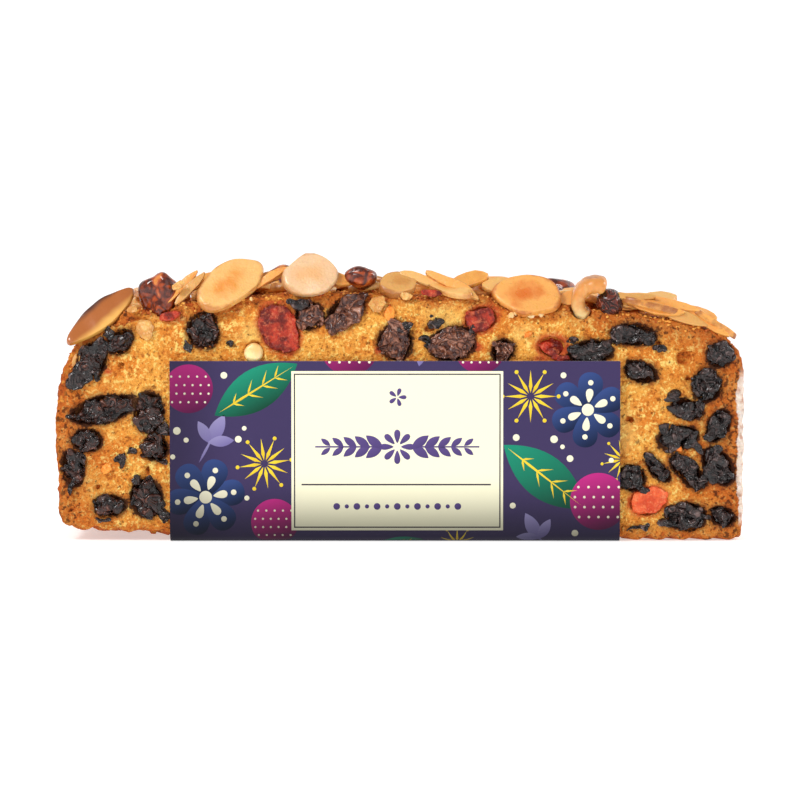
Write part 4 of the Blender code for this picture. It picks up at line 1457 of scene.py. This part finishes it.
blossoms = placed(BLOSSOMS)
leaves = placed(LEAVES)
berries = placed(BERRIES)
bursts = placed(BURSTS)
print_ink("navy_blossoms", 1, NAVY, (petal, around(blossoms, 6, 0.0, 1.0, 1.35)))
print_ink("green_leaves", 1, GREEN, (leaf, leaves))
print_ink("magenta_berries", 1, MAGENTA, (disc, berries))
rays = around(bursts, 12, 0.12, 0.8, 0.9)
print_ink("gold_bursts", 1, GOLD, (kite, rays), (disc, around(bursts, 6, 0.98, 0.07)))
spray_leaves = []
for place in placed(SPRAYS):
    spray_leaves += [place @ one for one in placed(SPRAY_LEAVES)]
    spray_leaves.append(place @ flat(-0.75, 0, 0.45, 0.1))
print_ink("lilac_sprays", 1, LILAC, (leaf, spray_leaves))

veins = []
for place in leaves:
    veins.append(place @ flat(-0.9, 0, 1.8, 0.34))
    for u in (-0.55, -0.2, 0.15, 0.45):
        veins += [place @ flat(u, 0, 0.34 * (1 - u * u), 0.3, 42 * side) for side in (-1, 1)]
print_ink("leaf_veins", 2, GOLD, (kite, veins))
cream_dots = [flat(*row) for row in DOTS]
for place in berries:
    for row in (-0.55, -0.2, 0.15, 0.5):
        half = math.sqrt(1 - row * row) - 0.16
        count = max(2, round(2 * half / 0.27))
        for step in range(count):
            cream_dots.append(place @ flat(-half + 2 * half * step / (count - 1), row, 0.045))
for place in blossoms:
    cream_dots.append(place @ flat(0, 0, 0.16))
    cream_dots += around([place], 6, 0.72, 0.07)
print_ink("cream_dots", 2, CREAM, (disc, cream_dots), (petal, around(blossoms, 6, 0.2, 0.36, 0.4)))

panel_middle = ((PANEL[0] + PANEL[1]) / 2, (PANEL[2] + PANEL[3]) / 2)
panel_half = ((PANEL[1] - PANEL[0]) / 2, (PANEL[3] - PANEL[2]) / 2)
print_ink("cream_panel", 3, PANEL_CREAM, (square, [flat(*panel_middle, *panel_half)]))
frame_half = [half - FRAME_INSET for half in panel_half]
line = FRAME_LINE / 2
lines = [flat((RULE[0] + RULE[1]) / 2, RULE[2], (RULE[1] - RULE[0]) / 2, RULE[3] / 2)]
for side in (-1, 1):
    lines.append(flat(panel_middle[0], panel_middle[1] + side * frame_half[1], frame_half[0] + line, line))
    lines.append(flat(panel_middle[0] + side * frame_half[0], panel_middle[1], line, frame_half[1]))
print_ink("panel_lines", 4, DARK_LINE, (square, lines))

ornament = flat(panel_middle[0], ORNAMENT_HEIGHT, 1.0)
ornament_leaves = []
for side in (-1, 1):
    for step in range(5):
        for tilt in (-1, 1):
            size = 2.6 - 0.3 * step
            spot = flat(side * (5.4 + 2.9 * step), tilt * 1.1, size, size, 38 * side * tilt)
            ornament_leaves.append(ornament @ spot)
ornament_stems = [ornament @ flat(side * 11.5, 0, 8.0, 0.18) for side in (-1, 1)]
ornament_petals = around([ornament], 8, 0.9, 3.2, 3.0)
top_petals = around([flat(panel_middle[0], TOP_BLOSSOM_HEIGHT, 1.0)], 5, 0.3, 1.9, 2.0)
marks = []
for step in range(-6, 7):
    marks.append(flat(panel_middle[0] + 2.4 * step, MARKS_HEIGHT, 0.5 if step % 2 else 0.8))
print_ink(
    "panel_ornament", 4, ORNAMENT,
    (leaf, ornament_leaves), (square, ornament_stems), (petal, ornament_petals + top_petals), (disc, marks),
)
for model in (disc, leaf, petal, kite, square):
    bpy.data.objects.remove(model, do_unlink=True)
